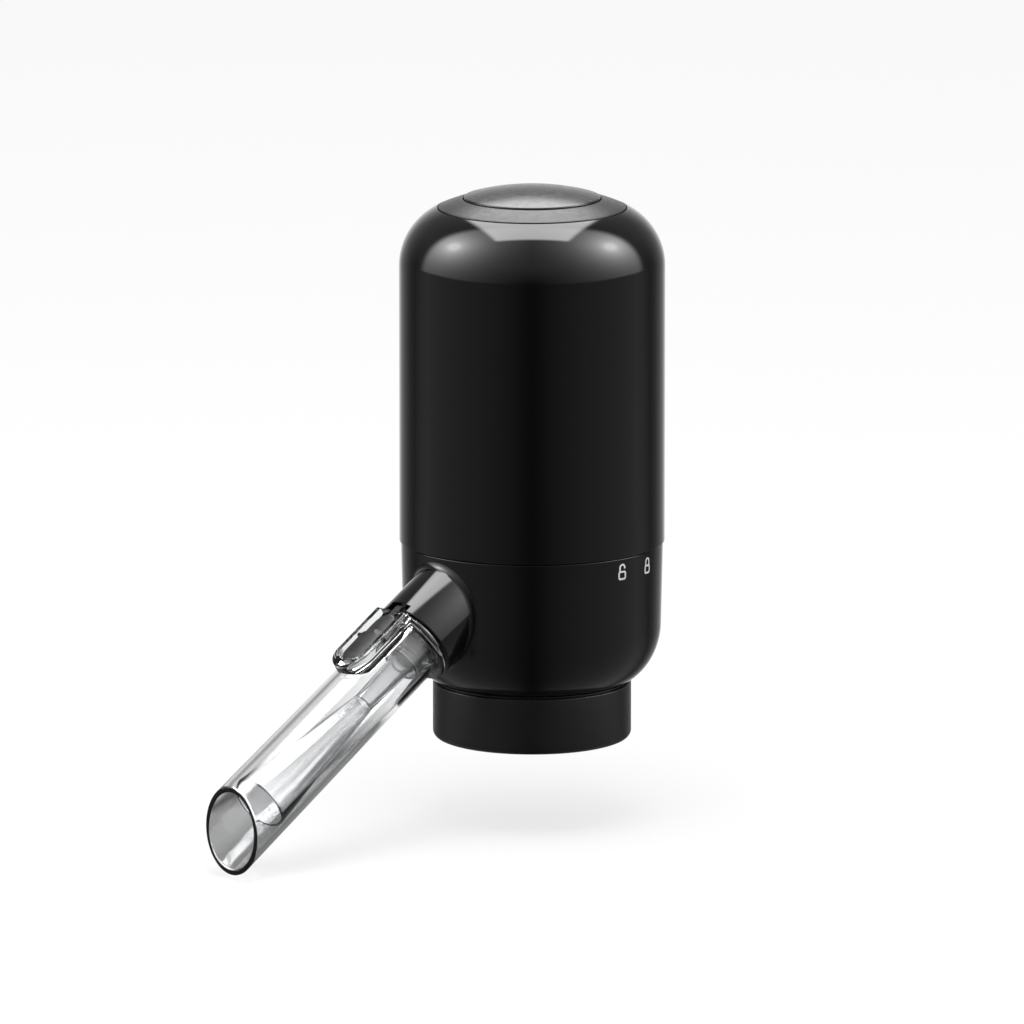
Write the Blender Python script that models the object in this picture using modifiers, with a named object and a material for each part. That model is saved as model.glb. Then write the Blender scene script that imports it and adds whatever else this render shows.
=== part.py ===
"""Electric wine decanter: a powered pouring head that sits on the neck of a wine bottle.

The frame is the decanter's own. Z is the body's axis and points up, and the origin is in the plane of
the collar's lower rim, where the bottle enters. The spout leaves along -Y and dips. Lengths are metres.

In the slanted frame of the nozzle and the spout, local Z runs outward along the spout's axis, local Y
is the upper side of the tube and local X is level.
"""

import math

import bmesh
import bpy
from mathutils import Matrix, Vector

for old in list(bpy.data.objects):
    bpy.data.objects.remove(old, do_unlink=True)

MM = 0.001

# Driving sizes of the outside
WALL = 2.0 * MM
DOME_RADIUS = 56.0 * MM
SHOULDER_RADIUS = 15.0 * MM
COLLAR_RADIUS = 23.2 * MM
COLLAR_HEIGHT = 13.7 * MM
SPOUT_REACH = 94.9 * MM
SPOUT_DIP = math.radians(32.5)
SPOUT_AXIS_RISE = 5.1 * MM

# Clearances: between pieces that touch, past the end of every cut, and on every visible edge
GAP = 0.3 * MM
OVERRUN = 1.0 * MM
EDGE = 0.4 * MM
SEAM_GAP = 0.5 * MM
WELD = 0.01 * MM
NECK_CLEARANCE = 0.4 * MM
PLATE_CLEARANCE = 0.4 * MM

# What the body is built round: the cells, the motor and the pump
CELL_RADIUS = 5.25 * MM
CELL_LENGTH = 44.5 * MM
CELL_CIRCLE = 20.6 * MM
CELL_MARGIN = 0.35 * MM
CELL_CLEARANCE = 0.3 * MM
MOTOR_RADIUS = 12.2 * MM
MOTOR_HEIGHT = 29.0 * MM
MOTOR_ANGLE = math.radians(51.0)
MOTOR_MARGIN = 0.5 * MM
PUMP_HEAD_HEIGHT = 6.6 * MM
PUMP_BODY_HEIGHT = 11.6 * MM
FLOOR_THICKNESS = 2.3 * MM
PUMP_ROOM = 8.2 * MM
PLATE_DROP = 3.4 * MM
PLATE_THICKNESS = 2.2 * MM
NECK_HEIGHT = 6.6 * MM
CONTACT_THICKNESS = 0.4 * MM
HOLDER_END = 2.0 * MM
TRAY_ROOM = 4.15 * MM
TRAY_THICKNESS = 2.0 * MM
HEADROOM = 21.7 * MM

# Radii from the inside out
PLATE_RADIUS = CELL_CIRCLE + CELL_RADIUS + CELL_MARGIN
NECK_BORE = PLATE_RADIUS + PLATE_CLEARANCE
NECK_RADIUS = NECK_BORE + WALL
UPPER_BORE = NECK_RADIUS + NECK_CLEARANCE
BODY_RADIUS = UPPER_BORE + WALL
MOTOR_CIRCLE = PLATE_RADIUS - MOTOR_MARGIN - MOTOR_RADIUS
MOTOR_X = MOTOR_CIRCLE * math.cos(MOTOR_ANGLE)
MOTOR_Y = MOTOR_CIRCLE * math.sin(MOTOR_ANGLE)

# Heights from the collar up
CASING_BOTTOM = COLLAR_HEIGHT + GAP
FLOOR_TOP = CASING_BOTTOM + FLOOR_THICKNESS
PUMP_HEAD_BOTTOM = FLOOR_TOP + PUMP_ROOM
PUMP_BODY_BOTTOM = PUMP_HEAD_BOTTOM + PUMP_HEAD_HEIGHT + GAP
PUMP_BODY_TOP = PUMP_BODY_BOTTOM + PUMP_BODY_HEIGHT
PLATE_BOTTOM = PUMP_BODY_TOP + GAP
PLATE_TOP = PLATE_BOTTOM + PLATE_THICKNESS
CARRIED = PLATE_TOP + GAP
SEAM_HEIGHT = PLATE_BOTTOM + PLATE_DROP
LOWER_TOP = SEAM_HEIGHT - SEAM_GAP / 2
NECK_TOP = LOWER_TOP + NECK_HEIGHT
BAY_BOTTOM = NECK_TOP + GAP
CONTACT_LOW = BAY_BOTTOM + GAP
CELL_BOTTOM = CONTACT_LOW + CONTACT_THICKNESS + GAP
CELL_TOP = CELL_BOTTOM + CELL_LENGTH
CONTACT_HIGH = CELL_TOP + GAP
BAY_TOP = CONTACT_HIGH + CONTACT_THICKNESS + GAP
HOLDER_TOP = BAY_TOP + HOLDER_END
TRAY_BOTTOM = HOLDER_TOP + TRAY_ROOM
TRAY_TOP = TRAY_BOTTOM + TRAY_THICKNESS
BOARD_HEIGHT = TRAY_TOP + GAP
BODY_HEIGHT = BOARD_HEIGHT + HEADROOM
SPOUT_AXIS_HEIGHT = SEAM_HEIGHT + SPOUT_AXIS_RISE

# Facets round a full turn, by the size of the piece
FACETS_BODY = 48
FACETS_MIDDLE = 36
FACETS_SMALL = 20
FACETS_TINY = 12
FACETS_RING = 8

parts = bpy.data.collections.new("electric_wine_decanter")
cutters = bpy.data.collections.new("cutters")
bpy.context.scene.collection.children.link(parts)
bpy.context.scene.collection.children.link(cutters)


def material(name, colour, roughness, metallic=0.0, clear=0.0):
    """A Principled material; clear is how much light passes through it."""
    look = bpy.data.materials.new(name)
    look.use_nodes = True
    shader = look.node_tree.nodes["Principled BSDF"]
    shader.inputs["Base Color"].default_value = (*colour, 1.0)
    shader.inputs["Roughness"].default_value = roughness
    shader.inputs["Metallic"].default_value = metallic
    shader.inputs["Transmission Weight"].default_value = clear
    return look


GLOSS_BLACK = material("gloss_black", (0.012, 0.012, 0.013), 0.12)
SATIN_BLACK = material("satin_black", (0.018, 0.018, 0.019), 0.35)
BUTTON_GREY = material("button_black", (0.020, 0.020, 0.022), 0.22)
CLEAR = material("clear_plastic", (0.93, 0.95, 0.96), 0.03, clear=1.0)
FROSTED = material("frosted_plastic", (0.62, 0.64, 0.66), 0.30, clear=0.6)
RUBBER = material("rubber", (0.030, 0.030, 0.032), 0.70)
SILICONE = material("silicone", (0.75, 0.76, 0.78), 0.45)
PLASTIC_GREY = material("grey_plastic", (0.22, 0.23, 0.25), 0.50)
STEEL = material("steel", (0.55, 0.56, 0.58), 0.28, metallic=1.0)
BRASS = material("brass", (0.72, 0.52, 0.24), 0.30, metallic=1.0)
MAGNET = material("magnet", (0.10, 0.10, 0.11), 0.60)
COPPER = material("copper", (0.70, 0.32, 0.18), 0.35, metallic=1.0)
BOARD_GREEN = material("board_green", (0.02, 0.16, 0.07), 0.40)
CELL_BLUE = material("cell_sleeve", (0.06, 0.13, 0.32), 0.35)
WIRE_RED = material("wire_red", (0.50, 0.03, 0.02), 0.45)
WIRE_BLACK = material("wire_black", (0.02, 0.02, 0.02), 0.45)


def link(name, mesh, look, place):
    """Puts a mesh in the scene under a name; without a look it is a cutter."""
    item = bpy.data.objects.new(name, mesh)
    item.matrix_world = place
    if look is None:
        cutters.objects.link(item)
        item.hide_render = True
        item.display_type = "WIRE"
    else:
        parts.objects.link(item)
        mesh.materials.append(look)
    return item


def turned(name, outline, look, facets, place=Matrix(), solid=False):
    """A turned piece. The outline's (radius, height) points run down its outer side and up its inner
    side; a solid one starts and ends on the axis."""
    mesh = bpy.data.meshes.new(name)
    corners = [(radius, 0.0, height) for radius, height in outline]
    runs = [(index, index + 1) for index in range(len(corners) - 1)]
    if not solid:
        runs.append((len(corners) - 1, 0))
    mesh.from_pydata(corners, runs, [])
    item = link(name, mesh, look, place)
    screw = item.modifiers.new("turn", "SCREW")
    screw.angle = math.tau
    screw.steps = facets
    screw.render_steps = facets
    screw.use_merge_vertices = True
    screw.merge_threshold = WELD
    screw.use_smooth_shade = True
    return item


def finish_mesh(name, shape, look, place):
    """Turns a bmesh into an object with smooth round sides and sharp edges."""
    mesh = bpy.data.meshes.new(name)
    bmesh.ops.recalc_face_normals(shape, faces=shape.faces)
    shape.to_mesh(mesh)
    shape.free()
    mesh.shade_smooth()
    mesh.set_sharp_from_angle(angle=math.radians(35.0))
    return link(name, mesh, look, place)


def posts(name, spots, radius, bottom, top, look=None, facets=FACETS_TINY, place=Matrix()):
    """Upright cylinders of one radius at each spot."""
    shape = bmesh.new()
    for spot_x, spot_y in spots:
        middle = Matrix.Translation((spot_x, spot_y, (bottom + top) / 2))
        bmesh.ops.create_cone(shape, cap_ends=True, segments=facets, radius1=radius, radius2=radius,
                              depth=top - bottom, matrix=middle)
    return finish_mesh(name, shape, look, place)


def blocks(name, boxes, look=None, place=Matrix()):
    """Boxes, each given by its low corner and its high corner."""
    shape = bmesh.new()
    for low, high in boxes:
        low_corner = Vector(low)
        high_corner = Vector(high)
        size = high_corner - low_corner
        middle = Matrix.Translation((low_corner + high_corner) / 2)
        bmesh.ops.create_cube(shape, size=1.0, matrix=middle @ Matrix.Diagonal((*size, 1.0)))
    return finish_mesh(name, shape, look, place)


def change(target, tool, operation):
    """Adds a Boolean with the exact solver."""
    boolean = target.modifiers.new(tool.name, "BOOLEAN")
    boolean.object = tool
    boolean.operation = operation
    boolean.solver = "EXACT"


def cut(target, *tools):
    for tool in tools:
        change(target, tool, "DIFFERENCE")


def add(target, *tools):
    for tool in tools:
        change(target, tool, "UNION")


def arc(centre_r, centre_z, radius_r, radius_z, start, end, count):
    """Points of an elliptical arc in an outline, from one angle to another in degrees."""
    points = []
    for index in range(count + 1):
        angle = math.radians(start + (end - start) * index / count)
        points.append((centre_r + radius_r * math.cos(angle), centre_z + radius_z * math.sin(angle)))
    return points


def ring_spots(radius, angles):
    """Places on a circle at the given angles in degrees."""
    return [(radius * math.cos(math.radians(a)), radius * math.sin(math.radians(a))) for a in angles]


def tube(name, points, radius, look, place=Matrix()):
    """A plain tube along points, as a curve made into a mesh with welded ends."""
    data = bpy.data.curves.new(name + "_path", "CURVE")
    data.dimensions = "3D"
    data.bevel_depth = radius
    data.bevel_resolution = 2
    data.use_fill_caps = True
    path = data.splines.new("POLY")
    path.points.add(len(points) - 1)
    for spot, point in zip(path.points, points):
        spot.co = (*point, 1.0)
    guide = bpy.data.objects.new(name + "_path", data)
    parts.objects.link(guide)
    guide.matrix_world = place
    bpy.context.view_layer.update()
    ready = guide.evaluated_get(bpy.context.evaluated_depsgraph_get())
    mesh = bpy.data.meshes.new_from_object(ready)
    shape = bmesh.new()
    shape.from_mesh(mesh)
    bmesh.ops.remove_doubles(shape, verts=shape.verts, dist=WELD)
    bpy.data.objects.remove(guide, do_unlink=True)
    bpy.data.meshes.remove(mesh)
    return finish_mesh(name, shape, look, place)


# Outer shape of the body: a shallow dome, a round shoulder and a straight side
SHOULDER_CENTRE_R = BODY_RADIUS - SHOULDER_RADIUS
DOME_CENTRE_Z = BODY_HEIGHT - DOME_RADIUS
SHOULDER_CENTRE_Z = DOME_CENTRE_Z + math.sqrt((DOME_RADIUS - SHOULDER_RADIUS) ** 2 - SHOULDER_CENTRE_R ** 2)
DOME_END_RADIUS = DOME_RADIUS * SHOULDER_CENTRE_R / (DOME_RADIUS - SHOULDER_RADIUS)


def body_top(radius, lift=0.0):
    """Height of the body's upper surface at a distance from the axis."""
    if radius <= DOME_END_RADIUS:
        return DOME_CENTRE_Z + math.sqrt((DOME_RADIUS + lift) ** 2 - radius ** 2)
    return SHOULDER_CENTRE_Z + math.sqrt((SHOULDER_RADIUS + lift) ** 2 - (radius - SHOULDER_CENTRE_R) ** 2)


def dome_points(inner, outer, count, lift=0.0):
    """Outline points along the dome, from one distance from the axis to another."""
    radii = [inner + (outer - inner) * index / count for index in range(count + 1)]
    return [(radius, body_top(radius, lift)) for radius in radii]


# Button, cap ring and what holds them in the top of the upper casing
BUTTON_RADIUS = 15.9 * MM
BUTTON_LIFT = 0.3 * MM
BUTTON_TRAVEL = 1.2 * MM
BUTTON_WALL = 1.8 * MM
BUTTON_FLANGE_LIP = 0.9 * MM
BUTTON_FLANGE_THICKNESS = 1.4 * MM
STEM_RADIUS = 3.0 * MM
CAP_RADIUS = 21.8 * MM
CAP_THICKNESS = 2.4 * MM
CAP_LEDGE = 1.9 * MM
PAD_THICKNESS = 1.8 * MM
PAD_WIDTH = 3.0 * MM
RETAINER_THICKNESS = 1.2 * MM
RETAINER_WIDTH = 8.0 * MM

CAP_BORE = BUTTON_RADIUS + GAP
LEDGE_RADIUS = CAP_RADIUS - CAP_LEDGE
LEDGE_TOP = body_top(CAP_RADIUS) - CAP_THICKNESS
SKIRT_RADIUS = LEDGE_RADIUS - GAP
FLANGE_RADIUS = BUTTON_RADIUS + BUTTON_FLANGE_LIP
SKIRT_BORE = FLANGE_RADIUS + GAP
FLANGE_TOP = LEDGE_TOP - GAP
FLANGE_BOTTOM = FLANGE_TOP - BUTTON_FLANGE_THICKNESS
PAD_TOP = FLANGE_BOTTOM - GAP
PAD_BOTTOM = PAD_TOP - PAD_THICKNESS
RETAINER_TOP = PAD_BOTTOM - GAP
RETAINER_BOTTOM = RETAINER_TOP - RETAINER_THICKNESS
SKIRT_BOTTOM = RETAINER_BOTTOM - GAP

# Upper casing and its three lock pins, which ride in slots of the lower casing's neck
PIN_RADIUS = 1.1 * MM
PIN_REACH = 1.9 * MM
PIN_RISE = 2.9 * MM
TWIST_ANGLE = 18.0
PIN_ANGLES = (60.0, 180.0, 300.0)
UPPER_BOTTOM = SEAM_HEIGHT + SEAM_GAP / 2
PIN_HEIGHT = SEAM_HEIGHT + PIN_RISE


def make_upper_casing():
    opening = CAP_RADIUS + GAP
    start = math.degrees(math.acos((opening - SHOULDER_CENTRE_R) / SHOULDER_RADIUS))
    ledge_under = LEDGE_TOP - WALL
    inner_radius = SHOULDER_RADIUS - WALL
    inner_end = math.degrees(math.asin((ledge_under - SHOULDER_CENTRE_Z) / inner_radius))
    outline = arc(SHOULDER_CENTRE_R, SHOULDER_CENTRE_Z, SHOULDER_RADIUS, SHOULDER_RADIUS, start, 0.0, 9)
    outline += [(BODY_RADIUS, UPPER_BOTTOM + EDGE), (BODY_RADIUS - EDGE, UPPER_BOTTOM)]
    outline += [(UPPER_BORE, UPPER_BOTTOM)]
    outline += arc(SHOULDER_CENTRE_R, SHOULDER_CENTRE_Z, inner_radius, inner_radius, 0.0, inner_end, 6)
    outline += [(LEDGE_RADIUS, ledge_under), (LEDGE_RADIUS, LEDGE_TOP), (opening, LEDGE_TOP)]
    casing = turned("upper_casing", outline, GLOSS_BLACK, FACETS_BODY)
    for index, angle in enumerate(PIN_ANGLES):
        turn = Matrix.Rotation(math.radians(angle), 4, "Z") @ Matrix.Rotation(math.pi / 2, 4, "Y")
        place = Matrix.Translation((0.0, 0.0, PIN_HEIGHT)) @ turn
        pin = posts(f"lock_pin_{index + 1}", [(0.0, 0.0)], PIN_RADIUS, UPPER_BORE - PIN_REACH,
                    UPPER_BORE + WALL / 2, place=place)
        add(casing, pin)
    return casing


def make_cap_ring():
    outer = CAP_RADIUS
    seat = LEDGE_TOP + GAP
    outline = [(outer, body_top(outer) - EDGE), (outer, seat), (SKIRT_RADIUS, seat)]
    outline += [(SKIRT_RADIUS, SKIRT_BOTTOM), (SKIRT_BORE, SKIRT_BOTTOM), (SKIRT_BORE, LEDGE_TOP)]
    outline += [(CAP_BORE, LEDGE_TOP), (CAP_BORE, body_top(CAP_BORE) - EDGE)]
    outline += dome_points(CAP_BORE + EDGE, outer - EDGE, 3)
    return turned("cap_ring", outline, SATIN_BLACK, FACETS_BODY)


# Internal tower that carries the switch board under the button
BOARD_THICKNESS = 1.6 * MM
BOARD_MARGIN = 4.7 * MM
SWITCH_WIDTH = 6.0 * MM
SWITCH_HEIGHT = 3.4 * MM
PLUNGER_RADIUS = 1.7 * MM
PLUNGER_HEIGHT = 0.8 * MM
BOARD_RADIUS = PLATE_RADIUS - BOARD_MARGIN
BOARD_TOP = BOARD_HEIGHT + BOARD_THICKNESS
SWITCH_BOTTOM = BOARD_TOP + GAP
SWITCH_TOP = SWITCH_BOTTOM + SWITCH_HEIGHT
PLUNGER_TOP = SWITCH_TOP + PLUNGER_HEIGHT
STEM_BOTTOM = PLUNGER_TOP + BUTTON_TRAVEL + GAP


def make_button():
    rim = BUTTON_RADIUS
    bore = FLANGE_RADIUS - PAD_WIDTH
    ceiling = body_top(rim, BUTTON_LIFT) - BUTTON_WALL
    outline = dome_points(0.0, rim - EDGE, 5, BUTTON_LIFT)
    outline += [(rim, body_top(rim, BUTTON_LIFT) - EDGE), (rim, FLANGE_TOP), (FLANGE_RADIUS, FLANGE_TOP)]
    outline += [(FLANGE_RADIUS, FLANGE_BOTTOM), (bore, FLANGE_BOTTOM), (bore, ceiling)]
    outline += [(STEM_RADIUS, ceiling), (STEM_RADIUS, STEM_BOTTOM), (0.0, STEM_BOTTOM)]
    return turned("power_button", outline, BUTTON_GREY, FACETS_BODY, solid=True)


def make_button_support():
    pad_outer = FLANGE_RADIUS - GAP
    pad_inner = pad_outer - PAD_WIDTH + GAP
    pad = [(pad_outer, PAD_TOP), (pad_outer, PAD_BOTTOM), (pad_inner, PAD_BOTTOM), (pad_inner, PAD_TOP)]
    turned("return_pad", pad, RUBBER, FACETS_MIDDLE)
    outer = SKIRT_BORE - GAP
    inner = outer - RETAINER_WIDTH
    ring = [(outer, RETAINER_TOP), (outer, RETAINER_BOTTOM), (inner, RETAINER_BOTTOM), (inner, RETAINER_TOP)]
    turned("button_retainer", ring, PLASTIC_GREY, FACETS_MIDDLE)


# Collar, the seal that grips the bottle, and the two nipples through it
COLLAR_WALL = 3.8 * MM
COLLAR_FILLET = 1.6 * MM
COLLAR_GROOVE = 0.8 * MM
COLLAR_FLANGE = 3.5 * MM
COLLAR_FLANGE_BORE = 14.2 * MM
SCREW_SHANK = 0.9 * MM
SCREW_HEAD = 2.1 * MM
SCREW_HEAD_HEIGHT = 1.2 * MM
SCREW_LENGTH = 7.0 * MM
SEAL_BORE = 15.2 * MM
SEAL_WEB = 2.8 * MM
SEAL_RISE = 1.0 * MM
SEAL_RIB = 0.4 * MM
INLET_BORE = 1.9 * MM
INLET_END = 2.4 * MM
INLET_RISE = 2.7 * MM
INLET_FLANGE = 5.2 * MM
AIR_BORE = 0.8 * MM
AIR_END = 4.6 * MM
AIR_RISE = 1.7 * MM
VALVE_LENGTH = 2.4 * MM
VALVE_WALL = 0.7 * MM

COLLAR_BORE = COLLAR_RADIUS - COLLAR_WALL
LOW_BOSS_CIRCLE = (COLLAR_FLANGE_BORE + COLLAR_BORE) / 2
INLET_TOP = FLOOR_TOP + INLET_RISE
AIR_TOP = FLOOR_TOP + AIR_RISE
FLANGE_UNDER = COLLAR_HEIGHT - COLLAR_FLANGE
SEAL_TOP = FLANGE_UNDER - GAP
SEAL_SEAT = SEAL_TOP - SEAL_WEB
SEAL_RADIUS = COLLAR_BORE - GAP

# Lower casing: neck, wall, rounded bottom, floor and inner bosses
LOWER_STEP = 0.4 * MM
LOWER_TAPER = 0.4 * MM
NECK_WEB = 3.6 * MM
CURVE_HEIGHT = 13.5 * MM
CURVE_WIDTH = 12.6 * MM
BOSS_RADIUS = 2.4 * MM
BOSS_MARGIN = 1.3 * MM
BOSS_ANGLES = (6.0, 96.0, 186.0, 306.0)
PILOT_RADIUS = 0.9 * MM
PILOT_DEPTH = 8.0 * MM
LOW_BOSS_ANGLES = (90.0, 210.0, 330.0)
LOW_BOSS_HEIGHT = 4.6 * MM
INLET_RADIUS = 3.2 * MM
AIR_RADIUS = 1.5 * MM
AIR_X = -1.5 * MM
AIR_Y = 6.9 * MM

LOWER_RADIUS = BODY_RADIUS - LOWER_STEP
LOWER_FOOT_RADIUS = LOWER_RADIUS - LOWER_TAPER
CURVE_TOP = CASING_BOTTOM + CURVE_HEIGHT
BOSS_CIRCLE = PLATE_RADIUS - BOSS_RADIUS - BOSS_MARGIN
BOSS_TOP = PLATE_BOTTOM - GAP

# Nozzle that carries the spout
NOZZLE_RADIUS = 10.3 * MM
NOZZLE_ROOT = 5.6 * MM
NOZZLE_REACH = 8.5 * MM
NOZZLE_WALL = 2.0 * MM
NOZZLE_FACE = 2.5 * MM
NOTCH_HALF_WIDTH = 3.1 * MM
NOTCH_FLOOR = 8.6 * MM
NOTCH_DEPTH = 2.0 * MM

NOZZLE_START = (LOWER_RADIUS - WALL) / math.cos(SPOUT_DIP) - NOZZLE_ROOT
NOZZLE_END = LOWER_RADIUS / math.cos(SPOUT_DIP) + NOZZLE_REACH
SLANT = Matrix.Translation((0.0, 0.0, SPOUT_AXIS_HEIGHT)) @ Matrix.Rotation(math.pi / 2 + SPOUT_DIP, 4, "X")


def lower_outline():
    web_bottom = LOWER_TOP - NECK_WEB
    bottom_r = LOWER_FOOT_RADIUS - CURVE_WIDTH
    height = CURVE_TOP - CASING_BOTTOM
    stop = math.degrees(math.acos((COLLAR_RADIUS - bottom_r) / CURVE_WIDTH))
    curve_height = height / math.sin(math.radians(stop))
    inner_width = CURVE_WIDTH - WALL
    inner_height = curve_height - WALL
    inner_stop = math.degrees(math.asin(min(1.0, (CURVE_TOP - FLOOR_TOP) / inner_height)))
    bore = INLET_RADIUS + GAP
    points = [(NECK_RADIUS - EDGE, NECK_TOP), (NECK_RADIUS, NECK_TOP - EDGE), (NECK_RADIUS, LOWER_TOP)]
    points += [(LOWER_RADIUS - EDGE, LOWER_TOP), (LOWER_RADIUS, LOWER_TOP - EDGE)]
    points += arc(bottom_r, CURVE_TOP, CURVE_WIDTH, curve_height, 0.0, -stop, 8)
    points += [(bore, CASING_BOTTOM), (bore, FLOOR_TOP)]
    points += arc(bottom_r, CURVE_TOP, inner_width, inner_height, -inner_stop, 0.0, 6)
    points += [(LOWER_RADIUS - WALL, web_bottom - WALL), (NECK_BORE, web_bottom), (NECK_BORE, NECK_TOP)]
    return points


def slot_boxes():
    """The level run and the upright entry of each lock slot, in the frame of its own pin."""
    reach = UPPER_BORE * math.sin(math.radians(TWIST_ANGLE / 2)) + PIN_RADIUS + GAP
    inner = NECK_BORE - OVERRUN
    outer = UPPER_BORE + OVERRUN
    low = PIN_HEIGHT - PIN_RADIUS - GAP
    high = PIN_HEIGHT + PIN_RADIUS + GAP
    run = ((inner, -reach, low), (outer, reach, high))
    width = 2 * (PIN_RADIUS + GAP) + GAP
    entry = ((inner, -reach - GAP, PIN_HEIGHT), (outer, -reach + width, NECK_TOP + OVERRUN))
    return run, entry


def make_lower_casing():
    casing = turned("lower_casing", lower_outline(), GLOSS_BLACK, FACETS_BODY)
    base = FLOOR_TOP - FLOOR_THICKNESS / 2
    bosses = posts("plate_bosses", ring_spots(BOSS_CIRCLE, BOSS_ANGLES), BOSS_RADIUS, base, BOSS_TOP)
    low_top = FLOOR_TOP + LOW_BOSS_HEIGHT
    low_spots = ring_spots(LOW_BOSS_CIRCLE, LOW_BOSS_ANGLES)
    low_bosses = posts("collar_bosses", low_spots, BOSS_RADIUS, base, low_top)
    add(casing, bosses, low_bosses)
    pilots = posts("plate_pilots", ring_spots(BOSS_CIRCLE, BOSS_ANGLES), PILOT_RADIUS + GAP,
                   BOSS_TOP - PILOT_DEPTH, BOSS_TOP + OVERRUN)
    low_pilots = posts("collar_pilots", low_spots, PILOT_RADIUS + GAP,
                       CASING_BOTTOM - OVERRUN, low_top - EDGE)
    air_hole = posts("casing_air_hole", [(AIR_X, AIR_Y)], AIR_RADIUS + GAP,
                     CASING_BOTTOM - OVERRUN, FLOOR_TOP + OVERRUN)
    nozzle_hole = posts("nozzle_hole", [(0.0, 0.0)], NOZZLE_RADIUS + GAP, NOZZLE_START - GAP,
                        NOZZLE_END, facets=FACETS_MIDDLE, place=SLANT)
    cut(casing, pilots, low_pilots, air_hole, nozzle_hole)
    run, entry = slot_boxes()
    for index, angle in enumerate(PIN_ANGLES):
        place = Matrix.Rotation(math.radians(angle - TWIST_ANGLE / 2), 4, "Z")
        cut(casing, blocks(f"slot_run_{index + 1}", [run], place=place))
        cut(casing, blocks(f"slot_entry_{index + 1}", [entry], place=place))
    return casing


def screw(name, spot_x, spot_y, head_bottom, point_down):
    """A pan-head screw; its shank points down or up from the head."""
    way = 1.0 if point_down else -1.0
    far = -SCREW_LENGTH
    slot = SCREW_HEAD_HEIGHT / 2
    outline = [(0.0, slot), (SCREW_SHANK, slot), (SCREW_SHANK, SCREW_HEAD_HEIGHT)]
    outline += [(SCREW_HEAD - EDGE, SCREW_HEAD_HEIGHT), (SCREW_HEAD, SCREW_HEAD_HEIGHT - EDGE)]
    outline += [(SCREW_HEAD, 0.0), (SCREW_SHANK, 0.0), (SCREW_SHANK, far + SCREW_SHANK), (0.0, far)]
    turn = Matrix() if way > 0 else Matrix.Rotation(math.pi, 4, "X")
    place = Matrix.Translation((spot_x, spot_y, head_bottom)) @ turn
    return turned(name, outline, STEEL, FACETS_TINY, place, solid=True)


def make_collar():
    outer = COLLAR_RADIUS
    fillet = COLLAR_FILLET
    inner_top = outer - COLLAR_GROOVE
    outline = [(inner_top, COLLAR_HEIGHT), (inner_top, COLLAR_HEIGHT - EDGE)]
    outline += [(outer - EDGE, COLLAR_HEIGHT - EDGE), (outer, COLLAR_HEIGHT - 2 * EDGE)]
    outline += arc(outer - fillet, fillet, fillet, fillet, 0.0, -90.0, 4)
    outline += [(COLLAR_BORE + EDGE, 0.0), (COLLAR_BORE, EDGE), (COLLAR_BORE, FLANGE_UNDER)]
    outline += [(COLLAR_FLANGE_BORE, FLANGE_UNDER), (COLLAR_FLANGE_BORE, COLLAR_HEIGHT)]
    collar = turned("collar_ring", outline, SATIN_BLACK, FACETS_BODY)
    spots = ring_spots(LOW_BOSS_CIRCLE, LOW_BOSS_ANGLES)
    holes = posts("collar_holes", spots, SCREW_SHANK + GAP, FLANGE_UNDER, COLLAR_HEIGHT + OVERRUN)
    sinks = posts("collar_sinks", spots, SCREW_HEAD + GAP, FLANGE_UNDER - OVERRUN,
                  FLANGE_UNDER + SCREW_HEAD_HEIGHT + GAP)
    cut(collar, sinks, holes)
    for index, (spot_x, spot_y) in enumerate(spots):
        head = FLANGE_UNDER + SCREW_HEAD_HEIGHT
        screw(f"collar_screw_{index + 1}", spot_x, spot_y, head, point_down=False)
    return collar


def make_seal():
    ribs = []
    for share in (0.25, 0.60):
        height = SEAL_RISE + (SEAL_SEAT - SEAL_RISE) * share
        ribs += [(SEAL_BORE, height - SEAL_RIB), (SEAL_BORE - SEAL_RIB, height)]
        ribs += [(SEAL_BORE, height + SEAL_RIB)]
    bore = INLET_RADIUS + GAP
    outline = [(SEAL_RADIUS, SEAL_TOP), (SEAL_RADIUS, SEAL_RISE), (SEAL_BORE + EDGE, SEAL_RISE)]
    outline += ribs + [(SEAL_BORE, SEAL_SEAT), (bore, SEAL_SEAT), (bore, SEAL_TOP)]
    seal = turned("bottle_seal", outline, RUBBER, FACETS_MIDDLE)
    hole = posts("seal_air_hole", [(AIR_X, AIR_Y)], AIR_RADIUS + GAP, SEAL_SEAT - OVERRUN,
                 SEAL_TOP + OVERRUN)
    cut(seal, hole)
    return seal


def make_nipples():
    flange_bottom = SEAL_TOP + GAP
    flange_top = CASING_BOTTOM - GAP
    outline = [(INLET_RADIUS - EDGE, INLET_TOP), (INLET_RADIUS, INLET_TOP - EDGE)]
    outline += [(INLET_RADIUS, flange_top), (INLET_FLANGE, flange_top), (INLET_FLANGE, flange_bottom)]
    outline += [(INLET_RADIUS, flange_bottom), (INLET_RADIUS, INLET_END + EDGE)]
    outline += [(INLET_RADIUS - EDGE, INLET_END), (INLET_BORE, INLET_END), (INLET_BORE, INLET_TOP)]
    turned("inlet_nipple", outline, PLASTIC_GREY, FACETS_SMALL)
    air = [(AIR_RADIUS, AIR_TOP), (AIR_RADIUS, AIR_END), (AIR_BORE, AIR_END), (AIR_BORE, AIR_TOP)]
    place = Matrix.Translation((AIR_X, AIR_Y, 0.0))
    turned("air_nipple", air, PLASTIC_GREY, FACETS_TINY, place)
    inner = AIR_RADIUS + GAP
    top = SEAL_SEAT - GAP
    valve = [(inner + VALVE_WALL, top), (inner + VALVE_WALL, top - VALVE_LENGTH)]
    valve += [(inner, top - VALVE_LENGTH), (inner, top)]
    turned("air_check_valve", valve, RUBBER, FACETS_TINY, place)


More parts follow.
